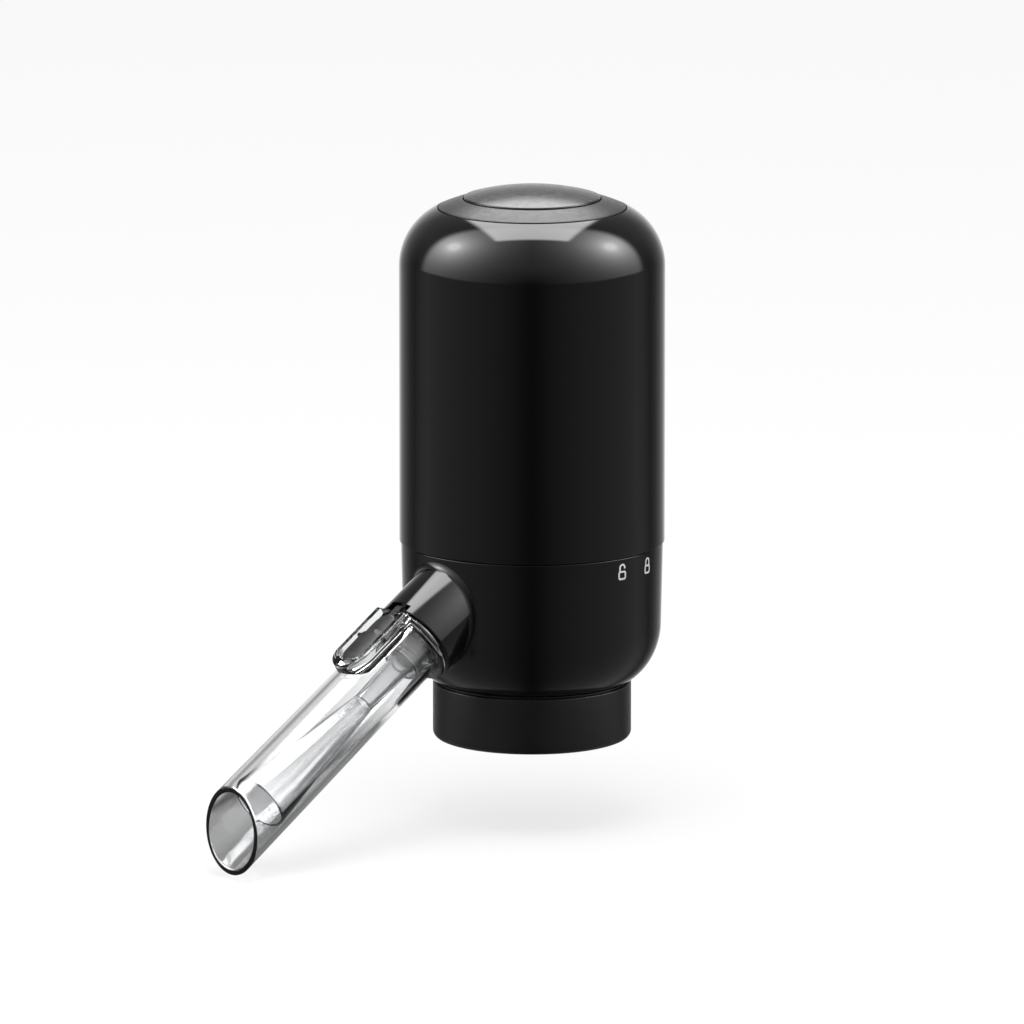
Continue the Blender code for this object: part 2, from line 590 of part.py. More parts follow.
# Core of the nozzle: the off-centre outlet that the spout's tube fits over, with its sealing ring
OUTLET_OFFSET = 1.85 * MM
OUTLET_RADIUS = 3.3 * MM
OUTLET_REACH = 5.3 * MM
OUTLET_BORE = 1.8 * MM
CORE_CLEARANCE = 0.5 * MM
CORE_SHOULDER_LENGTH = 3.0 * MM
CORE_TAIL_RADIUS = 2.8 * MM
CORE_TAIL_LENGTH = 20.8 * MM
GROOVE_DEPTH = 0.5 * MM
RING_RADIUS = 0.4 * MM
RING_PLACE = 1.6 * MM
BARB_Y = 16.5 * MM
BARB_RADIUS = 2.0 * MM
BARB_BORE = 1.1 * MM
BARB_LENGTH = 6.5 * MM

OUTLET_END = NOZZLE_END + OUTLET_REACH
OUTLET_PLACE = SLANT @ Matrix.Translation((0.0, -OUTLET_OFFSET, 0.0))
CORE_SHOULDER_TOP = NOZZLE_END - NOZZLE_FACE - GAP
CORE_SHOULDER_LOW = CORE_SHOULDER_TOP - CORE_SHOULDER_LENGTH
CORE_TAIL_START = CORE_SHOULDER_LOW - CORE_TAIL_LENGTH
BARB_S = (BARB_Y + OUTLET_OFFSET * math.sin(SPOUT_DIP)) / math.cos(SPOUT_DIP)
BARB_TOP = SPOUT_AXIS_HEIGHT - BARB_S * math.sin(SPOUT_DIP) - OUTLET_OFFSET * math.cos(SPOUT_DIP)
BARB_BOTTOM = BARB_TOP - BARB_LENGTH


def make_nozzle():
    top = NOZZLE_END
    radius = NOZZLE_RADIUS
    outline = [(0.0, top), (radius - EDGE, top), (radius, top - EDGE), (radius, NOZZLE_START)]
    outline += [(0.0, NOZZLE_START)]
    nozzle = turned("nozzle", outline, GLOSS_BLACK, FACETS_MIDDLE, SLANT, solid=True)
    bore = posts("nozzle_bore", [(0.0, 0.0)], radius - NOZZLE_WALL, NOZZLE_START - OVERRUN,
                 top - NOZZLE_FACE, facets=FACETS_MIDDLE, place=SLANT)
    mouth = posts("nozzle_mouth", [(0.0, 0.0)], OUTLET_RADIUS + GAP, NOZZLE_START, top + OVERRUN,
                  facets=FACETS_SMALL, place=OUTLET_PLACE)
    notch = blocks("nozzle_notch", [((-NOTCH_HALF_WIDTH, NOTCH_FLOOR, top - NOTCH_DEPTH),
                                     (NOTCH_HALF_WIDTH, radius + OVERRUN, top + OVERRUN))], place=SLANT)
    cut(nozzle, bore, mouth, notch)
    return nozzle


def make_core():
    shoulder = NOZZLE_RADIUS - NOZZLE_WALL - CORE_CLEARANCE
    body = [(0.0, CORE_SHOULDER_TOP), (shoulder, CORE_SHOULDER_TOP), (shoulder, CORE_SHOULDER_LOW)]
    body += [(0.0, CORE_SHOULDER_LOW)]
    core = turned("nozzle_core", body, SATIN_BLACK, FACETS_SMALL, SLANT, solid=True)
    floor = OUTLET_RADIUS - GROOVE_DEPTH
    ring_z = OUTLET_END - RING_PLACE
    half = RING_RADIUS + GAP / 2
    outline = [(0.0, OUTLET_END), (OUTLET_RADIUS - EDGE, OUTLET_END), (OUTLET_RADIUS, OUTLET_END - EDGE)]
    outline += [(OUTLET_RADIUS, ring_z + half), (floor, ring_z + half), (floor, ring_z - half)]
    outline += [(OUTLET_RADIUS, ring_z - half), (OUTLET_RADIUS, CORE_SHOULDER_LOW + WALL / 2)]
    outline += [(0.0, CORE_SHOULDER_LOW + WALL / 2)]
    outlet = turned("core_outlet", outline, None, FACETS_SMALL, OUTLET_PLACE, solid=True)
    low = [(0.0, 0.0)]
    tail = posts("core_tail", low, CORE_TAIL_RADIUS, CORE_TAIL_START, CORE_SHOULDER_LOW + OVERRUN,
                 place=OUTLET_PLACE)
    barb = posts("core_barb", [(0.0, -BARB_Y)], BARB_RADIUS, BARB_BOTTOM, BARB_TOP)
    add(core, outlet, tail, barb)
    channel = posts("core_channel", low, OUTLET_BORE, CORE_TAIL_START + WALL, OUTLET_END + OVERRUN,
                    place=OUTLET_PLACE)
    feed = posts("core_feed", [(0.0, -BARB_Y)], BARB_BORE, BARB_BOTTOM - OVERRUN, BARB_TOP)
    cut(core, channel, feed)
    ring = arc(floor + GAP + RING_RADIUS, ring_z, RING_RADIUS, RING_RADIUS, 90.0, -270.0, FACETS_RING)
    turned("spout_o_ring", ring[:-1], RUBBER, FACETS_SMALL, OUTLET_PLACE)
    return core


# Clear spout with its flange, the raised frame round the latch, and the cut end
SPOUT_RADIUS = 8.15 * MM
SPOUT_TIP_RADIUS = 8.85 * MM
SPOUT_WALL = 1.2 * MM
SPOUT_FLANGE_RADIUS = 10.0 * MM
SPOUT_FLANGE_THICKNESS = 1.4 * MM
FRAME_HALF_WIDTH = 5.2 * MM
FRAME_LENGTH = 20.9 * MM
FRAME_TOP = 10.9 * MM
FRAME_WALL = 1.7 * MM
SLOT_FLOOR = 8.6 * MM
KEY_INNER = 1.5 * MM
KEY_OUTER = 2.8 * MM
KEY_TOP = 9.9 * MM
KEY_LENGTH = 1.7 * MM
FRAME_FACETS = 16

SPOUT_START = NOZZLE_END + GAP
FRAME_END = SPOUT_START + FRAME_LENGTH
SPOUT_END = (SPOUT_REACH + SPOUT_TIP_RADIUS * math.sin(SPOUT_DIP)) / math.cos(SPOUT_DIP) + OVERRUN
FRAME_SLOT_HALF = FRAME_HALF_WIDTH - FRAME_WALL


def spout_outer(along):
    """Outer radius of the spout's tube at a distance along its axis."""
    share = (along - SPOUT_START) / (SPOUT_END - SPOUT_START)
    return SPOUT_RADIUS + (SPOUT_TIP_RADIUS - SPOUT_RADIUS) * share


def stadium(name, half_width, start, end, low, high, look=None, place=SLANT):
    """A block with one round end, the shape of the latch and of its frame."""
    middle = end - half_width
    box = blocks(name, [((-half_width, low, start), (half_width, high, middle))], look, place)
    turn = place @ Matrix.Translation((0.0, 0.0, middle)) @ Matrix.Rotation(math.pi / 2, 4, "X")
    end_cap = posts(name + "_end", [(0.0, 0.0)], half_width, -high, -low, facets=FRAME_FACETS, place=turn)
    add(box, end_cap)
    return box


def make_spout():
    start = SPOUT_START
    flange_end = start + SPOUT_FLANGE_THICKNESS
    outline = [(0.0, SPOUT_END), (spout_outer(SPOUT_END), SPOUT_END)]
    outline += [(spout_outer(flange_end), flange_end), (SPOUT_FLANGE_RADIUS, flange_end)]
    outline += [(SPOUT_FLANGE_RADIUS, start), (0.0, start)]
    spout = turned("spout_tube", outline, CLEAR, FACETS_MIDDLE, SLANT, solid=True)
    middle = (start + flange_end) / 2
    frame = stadium("latch_frame", FRAME_HALF_WIDTH, middle, FRAME_END, SPOUT_RADIUS / 2, FRAME_TOP)
    keys = blocks("spout_keys", [
        ((KEY_INNER, NOTCH_FLOOR + GAP, start - KEY_LENGTH), (KEY_OUTER, KEY_TOP, middle)),
        ((-KEY_OUTER, NOTCH_FLOOR + GAP, start - KEY_LENGTH), (-KEY_INNER, KEY_TOP, middle)),
    ], place=SLANT)
    add(spout, frame, keys)
    bore_outline = [(0.0, SPOUT_END + OVERRUN), (spout_outer(SPOUT_END) - SPOUT_WALL, SPOUT_END + OVERRUN)]
    bore_outline += [(SPOUT_RADIUS - SPOUT_WALL, start - OVERRUN), (0.0, start - OVERRUN)]
    bore = turned("spout_bore", bore_outline, None, FACETS_MIDDLE, SLANT, solid=True)
    slot = stadium("latch_slot", FRAME_SLOT_HALF, flange_end - EDGE,
                   FRAME_END - FRAME_WALL - GAP, SLOT_FLOOR, FRAME_TOP + OVERRUN)
    arm_slit = blocks("arm_slit", [((-ARM_HALF_WIDTH - GAP, NOTCH_FLOOR + GAP, start - OVERRUN),
                                    (ARM_HALF_WIDTH + GAP, FRAME_TOP + OVERRUN, flange_end + OVERRUN))],
                      place=SLANT)
    side = SLANT @ Matrix.Translation((0.0, PIVOT_HEIGHT, PIVOT_PLACE)) @ Matrix.Rotation(math.pi / 2, 4, "Y")
    half = FRAME_HALF_WIDTH - FRAME_WALL / 4
    holes = posts("pivot_holes", [(0.0, 0.0)], PIVOT_RADIUS + GAP, -half, half, place=side)
    far = SPOUT_REACH + SPOUT_END
    tip = blocks("tip_cut", [((-BODY_RADIUS, -far, -BODY_HEIGHT), (BODY_RADIUS, -SPOUT_REACH, BODY_HEIGHT))])
    cut(spout, tip, bore, slot, arm_slit, holes)
    return spout


# Latch rocker in the frame: it pivots on two pins and its arm lies in the nozzle's notch
LATCH_CLEARANCE = 0.3 * MM
LATCH_SETBACK = 1.6 * MM
LATCH_THICKNESS = 0.9 * MM
LATCH_UNDER = 9.3 * MM
LATCH_PAD = 0.4 * MM
PIVOT_OFFSET = 7.9 * MM
PIVOT_RADIUS = 0.55 * MM
ARM_HALF_WIDTH = 1.0 * MM
ARM_LENGTH = 3.2 * MM
ARM_THICKNESS = 0.6 * MM

LATCH_START = SPOUT_START + LATCH_SETBACK
PIVOT_PLACE = LATCH_START + PIVOT_OFFSET
PIVOT_HEIGHT = LATCH_UNDER + LATCH_THICKNESS / 2


def make_latch():
    place = SLANT @ Matrix.Translation((0.0, PIVOT_HEIGHT, PIVOT_PLACE))
    half_width = FRAME_SLOT_HALF - LATCH_CLEARANCE
    low = LATCH_UNDER - PIVOT_HEIGHT
    high = low + LATCH_THICKNESS
    start = LATCH_START - PIVOT_PLACE
    end = FRAME_END - FRAME_WALL - 2 * LATCH_CLEARANCE - GAP - PIVOT_PLACE
    latch = stadium("latch_rocker", half_width, start, end, low, high, SATIN_BLACK, place)
    pad = stadium("latch_pad", half_width - EDGE / 2, EDGE / 2, end - EDGE / 2, 0.0, high + LATCH_PAD,
                  place=place)
    arm = blocks("latch_arm", [((-ARM_HALF_WIDTH, low, start - ARM_LENGTH),
                                (ARM_HALF_WIDTH, low + ARM_THICKNESS, start + OVERRUN))], place=place)
    reach = FRAME_HALF_WIDTH - FRAME_WALL / 4 - GAP
    side = place @ Matrix.Rotation(math.pi / 2, 4, "Y")
    pins = posts("latch_pins", [(0.0, 0.0)], PIVOT_RADIUS, -reach, reach, facets=FACETS_RING, place=side)
    add(latch, pad, arm, pins)
    return latch


# Inside the spout: the aerating tube, with a cup round the outlet, and the funnel that widens to the tip
CUP_WALL = 0.6 * MM
CUP_DEPTH = 3.4 * MM
AERATOR_RADIUS = 2.9 * MM
AERATOR_WALL = 0.9 * MM
AERATOR_LENGTH = 15.0 * MM
AERATOR_TAPER = 0.4 * MM
FUNNEL_RADIUS = 2.7 * MM
FUNNEL_WALL = 0.7 * MM
FUNNEL_LENGTH = 37.0 * MM
FUNNEL_TILT = math.radians(2.6)
FUNNEL_CLEARANCE = 0.3 * MM

CUP_BORE = OUTLET_RADIUS - GROOVE_DEPTH + GAP + 2 * RING_RADIUS + GAP
CUP_START = OUTLET_END - CUP_DEPTH
AERATOR_START = OUTLET_END + GAP
AERATOR_END = AERATOR_START + AERATOR_LENGTH


def make_inner_tubes():
    cup = CUP_BORE + CUP_WALL
    neck = AERATOR_START + AERATOR_WALL
    tip = AERATOR_RADIUS - AERATOR_TAPER
    bore = AERATOR_RADIUS - AERATOR_WALL
    outline = [(tip, AERATOR_END), (AERATOR_RADIUS, neck), (cup, neck), (cup, CUP_START), (CUP_BORE, CUP_START)]
    outline += [(CUP_BORE, AERATOR_START), (bore, AERATOR_START), (tip - AERATOR_WALL, AERATOR_END)]
    turned("aerator_tube", outline, FROSTED, FACETS_SMALL, OUTLET_PLACE)
    start = AERATOR_END + GAP
    place = OUTLET_PLACE @ Matrix.Translation((0.0, 0.0, start)) @ Matrix.Rotation(-FUNNEL_TILT, 4, "X")
    offset = abs(FUNNEL_LENGTH * math.sin(FUNNEL_TILT) - OUTLET_OFFSET)
    end_radius = spout_outer(start + FUNNEL_LENGTH) - SPOUT_WALL - offset - FUNNEL_CLEARANCE
    outline = [(end_radius, FUNNEL_LENGTH), (FUNNEL_RADIUS, 0.0), (FUNNEL_RADIUS - FUNNEL_WALL, 0.0)]
    outline += [(end_radius - FUNNEL_WALL, FUNNEL_LENGTH)]
    turned("pour_funnel", outline, CLEAR, FACETS_MIDDLE, place)


# Plate that carries the pump, the motor and the battery holder
SHAFT_HOLE = 3.4 * MM
MOTOR_PLACE = Matrix.Translation((MOTOR_X, MOTOR_Y, 0.0))


def make_plate():
    top = PLATE_TOP
    radius = PLATE_RADIUS
    outline = [(0.0, top), (radius - EDGE, top), (radius, top - EDGE), (radius, PLATE_BOTTOM)]
    outline += [(0.0, PLATE_BOTTOM)]
    plate = turned("chassis_plate", outline, PLASTIC_GREY, FACETS_BODY, solid=True)
    spots = ring_spots(BOSS_CIRCLE, BOSS_ANGLES)
    low = PLATE_BOTTOM - OVERRUN
    holes = posts("plate_holes", spots, SCREW_SHANK + GAP, low, top)
    head = top - SCREW_HEAD_HEIGHT
    sinks = posts("plate_sinks", spots, SCREW_HEAD + GAP, head - GAP, top + OVERRUN)
    shaft = posts("plate_shaft_hole", [(MOTOR_X, MOTOR_Y)], SHAFT_HOLE, low, top + OVERRUN,
                  facets=FACETS_SMALL)
    cut(plate, sinks, holes, shaft)
    for index, (spot_x, spot_y) in enumerate(spots):
        screw(f"chassis_screw_{index + 1}", spot_x, spot_y, head, point_down=True)
    return plate


# Air pump under the plate and the motor over it
PUMP_RADIUS = 12.0 * MM
PUMP_WALL = 2.0 * MM
PORT_RADIUS = 1.4 * MM
PORT_BORE = 0.7 * MM
PORT_LENGTH = 1.5 * MM
PORT_OFFSET = 6.0 * MM
MOTOR_WALL = 1.3 * MM
MOTOR_BOSS_RADIUS = 3.0 * MM
MOTOR_BOSS_HEIGHT = 1.8 * MM
MOTOR_CAP_HEIGHT = 3.2 * MM
SHAFT_RADIUS = 1.0 * MM
SHAFT_CLEARANCE = 0.4 * MM
MAGNET_THICKNESS = 1.9 * MM
MAGNET_HEIGHT = 19.0 * MM
ARMATURE_GAP = 0.5 * MM
ARMATURE_HEIGHT = 16.0 * MM
CRANK_RADIUS = 6.0 * MM
CRANK_THICKNESS = 2.6 * MM
CRANK_THROW = 3.6 * MM
CRANK_PIN_RADIUS = 1.1 * MM
CRANK_PIN_LENGTH = 2.0 * MM
TERMINAL_WIDTH = 2.2 * MM
TERMINAL_THICKNESS = 0.5 * MM
TERMINAL_HEIGHT = 3.0 * MM
TERMINAL_OFFSET = 6.5 * MM

MOTOR_BOTTOM = CARRIED
MOTOR_TOP = MOTOR_BOTTOM + MOTOR_HEIGHT
MOTOR_CAP_BOTTOM = MOTOR_TOP + GAP
MOTOR_CAP_TOP = MOTOR_CAP_BOTTOM + MOTOR_CAP_HEIGHT
MOTOR_BORE = MOTOR_RADIUS - MOTOR_WALL
BEARING_BORE = SHAFT_RADIUS + SHAFT_CLEARANCE
CRANK_TOP = PUMP_BODY_TOP - CRANK_THICKNESS


def make_pump():
    head_top = PUMP_HEAD_BOTTOM + PUMP_HEAD_HEIGHT
    outline = [(0.0, head_top), (PUMP_RADIUS, head_top), (PUMP_RADIUS, PUMP_HEAD_BOTTOM + EDGE)]
    outline += [(PUMP_RADIUS - EDGE, PUMP_HEAD_BOTTOM), (0.0, PUMP_HEAD_BOTTOM)]
    head = turned("pump_head", outline, SATIN_BLACK, FACETS_MIDDLE, MOTOR_PLACE, solid=True)
    spots = [(-PORT_OFFSET, 0.0), (PORT_OFFSET, 0.0)]
    ports = posts("pump_ports", spots, PORT_RADIUS, PUMP_HEAD_BOTTOM - PORT_LENGTH,
                  PUMP_HEAD_BOTTOM + OVERRUN, place=MOTOR_PLACE)
    bores = posts("pump_port_bores", spots, PORT_BORE, PUMP_HEAD_BOTTOM - PORT_LENGTH - OVERRUN,
                  head_top + OVERRUN, facets=FACETS_RING, place=MOTOR_PLACE)
    add(head, ports)
    cut(head, bores)
    floor = PUMP_BODY_BOTTOM + PUMP_WALL
    inner = PUMP_RADIUS - PUMP_WALL
    body = [(PUMP_RADIUS, PUMP_BODY_TOP), (PUMP_RADIUS, PUMP_BODY_BOTTOM), (PORT_RADIUS, PUMP_BODY_BOTTOM)]
    body += [(PORT_RADIUS, floor), (inner, floor), (inner, PUMP_BODY_TOP)]
    turned("pump_body", body, PLASTIC_GREY, FACETS_MIDDLE, MOTOR_PLACE)


def make_motor():
    floor = MOTOR_BOTTOM + MOTOR_WALL
    boss_low = MOTOR_BOTTOM - MOTOR_BOSS_HEIGHT
    can = [(MOTOR_RADIUS, MOTOR_TOP), (MOTOR_RADIUS, MOTOR_BOTTOM + EDGE), (MOTOR_RADIUS - EDGE, MOTOR_BOTTOM)]
    can += [(MOTOR_BOSS_RADIUS, MOTOR_BOTTOM), (MOTOR_BOSS_RADIUS, boss_low), (BEARING_BORE, boss_low)]
    can += [(BEARING_BORE, floor), (MOTOR_BORE, floor), (MOTOR_BORE, MOTOR_TOP)]
    turned("motor_can", can, STEEL, FACETS_MIDDLE, MOTOR_PLACE)
    middle = (floor + MOTOR_TOP) / 2
    outer = MOTOR_BORE - GAP
    inner = outer - MAGNET_THICKNESS
    low = middle - MAGNET_HEIGHT / 2
    high = middle + MAGNET_HEIGHT / 2
    turned("motor_magnets", [(outer, high), (outer, low), (inner, low), (inner, high)], MAGNET,
           FACETS_SMALL, MOTOR_PLACE)
    cap_low = MOTOR_CAP_BOTTOM
    cap = [(MOTOR_RADIUS - EDGE, MOTOR_CAP_TOP), (MOTOR_RADIUS, MOTOR_CAP_TOP - EDGE), (MOTOR_RADIUS, cap_low)]
    cap += [(BEARING_BORE, cap_low), (BEARING_BORE, MOTOR_CAP_TOP)]
    motor_cap = turned("motor_cap", cap, SATIN_BLACK, FACETS_MIDDLE, MOTOR_PLACE)
    boxes = []
    for way in (-1, 1):
        centre = way * TERMINAL_OFFSET
        boxes.append(((centre - TERMINAL_WIDTH / 2, -TERMINAL_THICKNESS, MOTOR_CAP_TOP - EDGE),
                      (centre + TERMINAL_WIDTH / 2, TERMINAL_THICKNESS, MOTOR_CAP_TOP + TERMINAL_HEIGHT)))
    add(motor_cap, blocks("motor_terminals", boxes, place=MOTOR_PLACE))
    arm_outer = inner - ARMATURE_GAP
    arm_inner = SHAFT_RADIUS + GAP
    arm_low = middle - ARMATURE_HEIGHT / 2
    arm_high = middle + ARMATURE_HEIGHT / 2
    armature = [(arm_outer, arm_high), (arm_outer, arm_low), (arm_inner, arm_low), (arm_inner, arm_high)]
    turned("motor_armature", armature, COPPER, FACETS_SMALL, MOTOR_PLACE)
    shaft_low = CRANK_TOP - CRANK_THICKNESS
    shaft_high = MOTOR_CAP_TOP - SHAFT_RADIUS
    posts("motor_shaft", [(0.0, 0.0)], SHAFT_RADIUS, shaft_low, shaft_high, STEEL, place=MOTOR_PLACE)


def make_crank():
    low = CRANK_TOP - CRANK_THICKNESS
    bore = SHAFT_RADIUS + GAP
    disc = [(CRANK_RADIUS, CRANK_TOP), (CRANK_RADIUS, low), (bore, low), (bore, CRANK_TOP)]
    crank = turned("pump_crank", disc, BRASS, FACETS_SMALL, MOTOR_PLACE)
    pin = posts("crank_pin", [(CRANK_THROW, 0.0)], CRANK_PIN_RADIUS, low - CRANK_PIN_LENGTH,
                low + OVERRUN, facets=FACETS_RING, place=MOTOR_PLACE)
    add(crank, pin)
    return crank


# Battery holder with four cells that come out sideways once the upper casing is off
CELL_STUD_RADIUS = 1.9 * MM
CELL_STUD_HEIGHT = 0.9 * MM
CELL_WEB = 0.6 * MM
HOLDER_CLEARANCE = 1.6 * MM
CONTACT_HALF_WIDTH = 3.0 * MM

BAY_RADIUS = CELL_RADIUS + CELL_CLEARANCE
CELL_STEP = 2 * math.asin((BAY_RADIUS + CELL_WEB / 2) / CELL_CIRCLE)
HOLDER_ANGLE = MOTOR_ANGLE + math.pi
CELL_ANGLES = [math.degrees(HOLDER_ANGLE + CELL_STEP * place_share) for place_share in (-1.5, -0.5, 0.5, 1.5)]
HOLDER_FLAT = CELL_CIRCLE * math.cos(1.5 * CELL_STEP) - BAY_RADIUS - CELL_WEB
HOLDER_RADIUS = UPPER_BORE - HOLDER_CLEARANCE
HOLDER_BOTTOM = CARRIED


def make_batteries():
    outline = [(0.0, HOLDER_TOP), (HOLDER_RADIUS, HOLDER_TOP), (HOLDER_RADIUS, NECK_TOP + GAP)]
    outline += [(PLATE_RADIUS, NECK_TOP + GAP), (PLATE_RADIUS, HOLDER_BOTTOM)]
    outline += [(0.0, HOLDER_BOTTOM)]
    holder = turned("battery_holder", outline, SATIN_BLACK, FACETS_BODY, solid=True)
    far = 2 * BODY_RADIUS
    half = CELL_RADIUS + CELL_CLEARANCE / 2
    way = Matrix.Rotation(HOLDER_ANGLE, 4, "Z")
    flat = blocks("holder_flat", [((-far, -far, HOLDER_BOTTOM - OVERRUN), (HOLDER_FLAT, far, HOLDER_TOP + OVERRUN))],
                  place=way)
    cut(holder, flat)
    spots = ring_spots(CELL_CIRCLE, CELL_ANGLES)
    bays = posts("cell_bays", spots, BAY_RADIUS, BAY_BOTTOM, BAY_TOP, facets=FACETS_SMALL)
    cut(holder, bays)
    for index, angle in enumerate(CELL_ANGLES):
        turn = Matrix.Rotation(math.radians(angle), 4, "Z")
        door = blocks(f"cell_door_{index + 1}", [((CELL_CIRCLE, -half, BAY_BOTTOM), (far, half, BAY_TOP))],
                      place=turn)
        cut(holder, door)
    for index, spot in enumerate(spots):
        make_cell(index, spot)
    make_contacts(holder, spots)
    return holder


def make_cell(index, spot):
    """A cell with its stud; neighbours stand head to tail."""
    body_top_z = CELL_LENGTH - CELL_STUD_HEIGHT
    outline = [(0.0, CELL_LENGTH), (CELL_STUD_RADIUS, CELL_LENGTH), (CELL_STUD_RADIUS, body_top_z)]
    outline += [(CELL_RADIUS - EDGE, body_top_z), (CELL_RADIUS, body_top_z - EDGE), (CELL_RADIUS, EDGE)]
    outline += [(CELL_RADIUS - EDGE, 0.0), (0.0, 0.0)]
    if index % 2:
        place = Matrix.Translation((*spot, CELL_TOP)) @ Matrix.Rotation(math.pi, 4, "X")
    else:
        place = Matrix.Translation((*spot, CELL_BOTTOM))
    turned(f"battery_cell_{index + 1}", outline, CELL_BLUE, FACETS_SMALL, place, solid=True)


def make_contacts(holder, spots):
    """Contact plates that join neighbouring cells, two above and one below, each in its own slot."""
    pairs = (("contact_upper_1", 0, 1, CONTACT_HIGH), ("contact_lower", 1, 2, CONTACT_LOW),
             ("contact_upper_2", 2, 3, CONTACT_HIGH))
    for name, first, second, low in pairs:
        start = Vector(spots[first])
        end = Vector(spots[second])
        middle = (start + end) / 2
        turn = math.atan2(end.y - start.y, end.x - start.x)
        place = Matrix.Translation((middle.x, middle.y, 0.0)) @ Matrix.Rotation(turn, 4, "Z")
        half = (end - start).length / 2
        high = low + CONTACT_THICKNESS
        plate = ((-half, -CONTACT_HALF_WIDTH, low), (half, CONTACT_HALF_WIDTH, high))
        blocks(name, [plate], BRASS, place)
        wide = CONTACT_HALF_WIDTH + GAP
        slot = ((-half, -wide, low - GAP), (half, wide, high + GAP))
        cut(holder, blocks(name + "_slot", [slot], place=place))


# Tower that carries the switch board, the board and the switch
TRAY_MARGIN = 1.7 * MM
PILLAR_RADIUS = 2.2 * MM
PILLAR_ANGLES = (116.0, 141.0, 331.0)
WIRE_HOLE_RADIUS = 2.4 * MM
BOARD_SCREW_INSET = 5.5 * MM
BOARD_SCREW_ANGLES = (100.0, 280.0)
WIRE_RADIUS = 0.6 * MM

BOARD_SCREW_CIRCLE = BOARD_RADIUS - BOARD_SCREW_INSET
PILLAR_CIRCLE = PLATE_RADIUS - PILLAR_RADIUS - EDGE
TRAY_RADIUS = PLATE_RADIUS - TRAY_MARGIN


def make_tower():
    outline = [(0.0, TRAY_TOP), (TRAY_RADIUS - EDGE, TRAY_TOP), (TRAY_RADIUS, TRAY_TOP - EDGE)]
    outline += [(TRAY_RADIUS, TRAY_BOTTOM), (0.0, TRAY_BOTTOM)]
    tower = turned("board_tower", outline, PLASTIC_GREY, FACETS_MIDDLE, solid=True)
    add(tower, posts("tower_pillars", ring_spots(PILLAR_CIRCLE, PILLAR_ANGLES), PILLAR_RADIUS, CARRIED,
                     TRAY_TOP - EDGE))
    wire_spots = [(MOTOR_X - TERMINAL_OFFSET, MOTOR_Y), (MOTOR_X + TERMINAL_OFFSET, MOTOR_Y)]
    cut(tower, posts("tray_wire_holes", wire_spots, WIRE_RADIUS + GAP, TRAY_BOTTOM - OVERRUN,
                     TRAY_TOP + OVERRUN, facets=FACETS_RING))
    screw_spots = ring_spots(BOARD_SCREW_CIRCLE, BOARD_SCREW_ANGLES)
    cut(tower, posts("tray_screw_holes", screw_spots, SCREW_SHANK + GAP, TRAY_BOTTOM - OVERRUN,
                     TRAY_TOP + OVERRUN))
    board_outline = [(0.0, BOARD_TOP), (BOARD_RADIUS, BOARD_TOP), (BOARD_RADIUS, BOARD_HEIGHT), (0.0, BOARD_HEIGHT)]
    board = turned("control_board", board_outline, BOARD_GREEN, FACETS_MIDDLE, solid=True)
    cut(board, posts("board_screw_holes", screw_spots, SCREW_SHANK + GAP, BOARD_HEIGHT - OVERRUN,
                     BOARD_TOP + OVERRUN))
    for index, (spot_x, spot_y) in enumerate(screw_spots):
        screw(f"board_screw_{index + 1}", spot_x, spot_y, BOARD_TOP + GAP, point_down=True)
    half = SWITCH_WIDTH / 2
    switch = blocks("tact_switch", [((-half, -half, SWITCH_BOTTOM), (half, half, SWITCH_TOP))], SATIN_BLACK)
    add(switch, posts("switch_plunger", [(0.0, 0.0)], PLUNGER_RADIUS, SWITCH_TOP - EDGE, PLUNGER_TOP))
    bottom = MOTOR_CAP_TOP + TERMINAL_HEIGHT + GAP
    for name, spot, look in (("motor_wire_red", wire_spots[0], WIRE_RED),
                             ("motor_wire_black", wire_spots[1], WIRE_BLACK)):
        tube(name, [(*spot, bottom), (*spot, TRAY_TOP)], WIRE_RADIUS, look)
    return tower


# Tubes: wine from the inlet to the nozzle's core, and air from the pump to the bottle
WINE_TUBE_RADIUS = 2.2 * MM
WINE_BEND = 4.5 * MM
AIR_TUBE_RADIUS = 1.2 * MM
AIR_BEND = 2.0 * MM
BEND_STEPS = 6


def bent_route(start, end, bend):
    """Points of a route that leaves and arrives upright, with two quarter bends between."""
    low = Vector(start)
    high = Vector(end)
    level = Vector((high.x - low.x, high.y - low.y, 0.0))
    way = level.normalized()
    middle = (low.z + high.z) / 2
    points = [low]
    for index in range(BEND_STEPS + 1):
        angle = math.pi / 2 * index / BEND_STEPS
        out = bend * (1 - math.cos(angle))
        rise = bend * math.sin(angle)
        points.append(Vector((low.x, low.y, middle - bend + rise)) + way * out)
    for index in range(BEND_STEPS + 1):
        angle = math.pi / 2 * index / BEND_STEPS
        out = bend * math.sin(angle)
        rise = bend * (1 - math.cos(angle))
        points.append(Vector((high.x, high.y, middle + rise)) - way * (bend - out))
    points.append(high)
    return points


def make_tubes():
    wine_start = (0.0, 0.0, INLET_TOP + GAP)
    wine_end = (0.0, -BARB_Y, BARB_BOTTOM - GAP)
    tube("wine_tube", bent_route(wine_start, wine_end, WINE_BEND), WINE_TUBE_RADIUS, SILICONE)
    air_start = (AIR_X, AIR_Y, AIR_TOP + GAP)
    air_end = (MOTOR_X - PORT_OFFSET, MOTOR_Y, PUMP_HEAD_BOTTOM - PORT_LENGTH - GAP)
    tube("air_tube", bent_route(air_start, air_end, AIR_BEND), AIR_TUBE_RADIUS, SILICONE)


make_lower_casing()
make_collar()
make_seal()
make_nipples()
make_nozzle()
make_core()
make_upper_casing()
make_cap_ring()
make_button()
make_button_support()
make_spout()
make_latch()
make_inner_tubes()
make_plate()
make_pump()
make_motor()
make_crank()
make_batteries()
make_tower()
make_tubes()
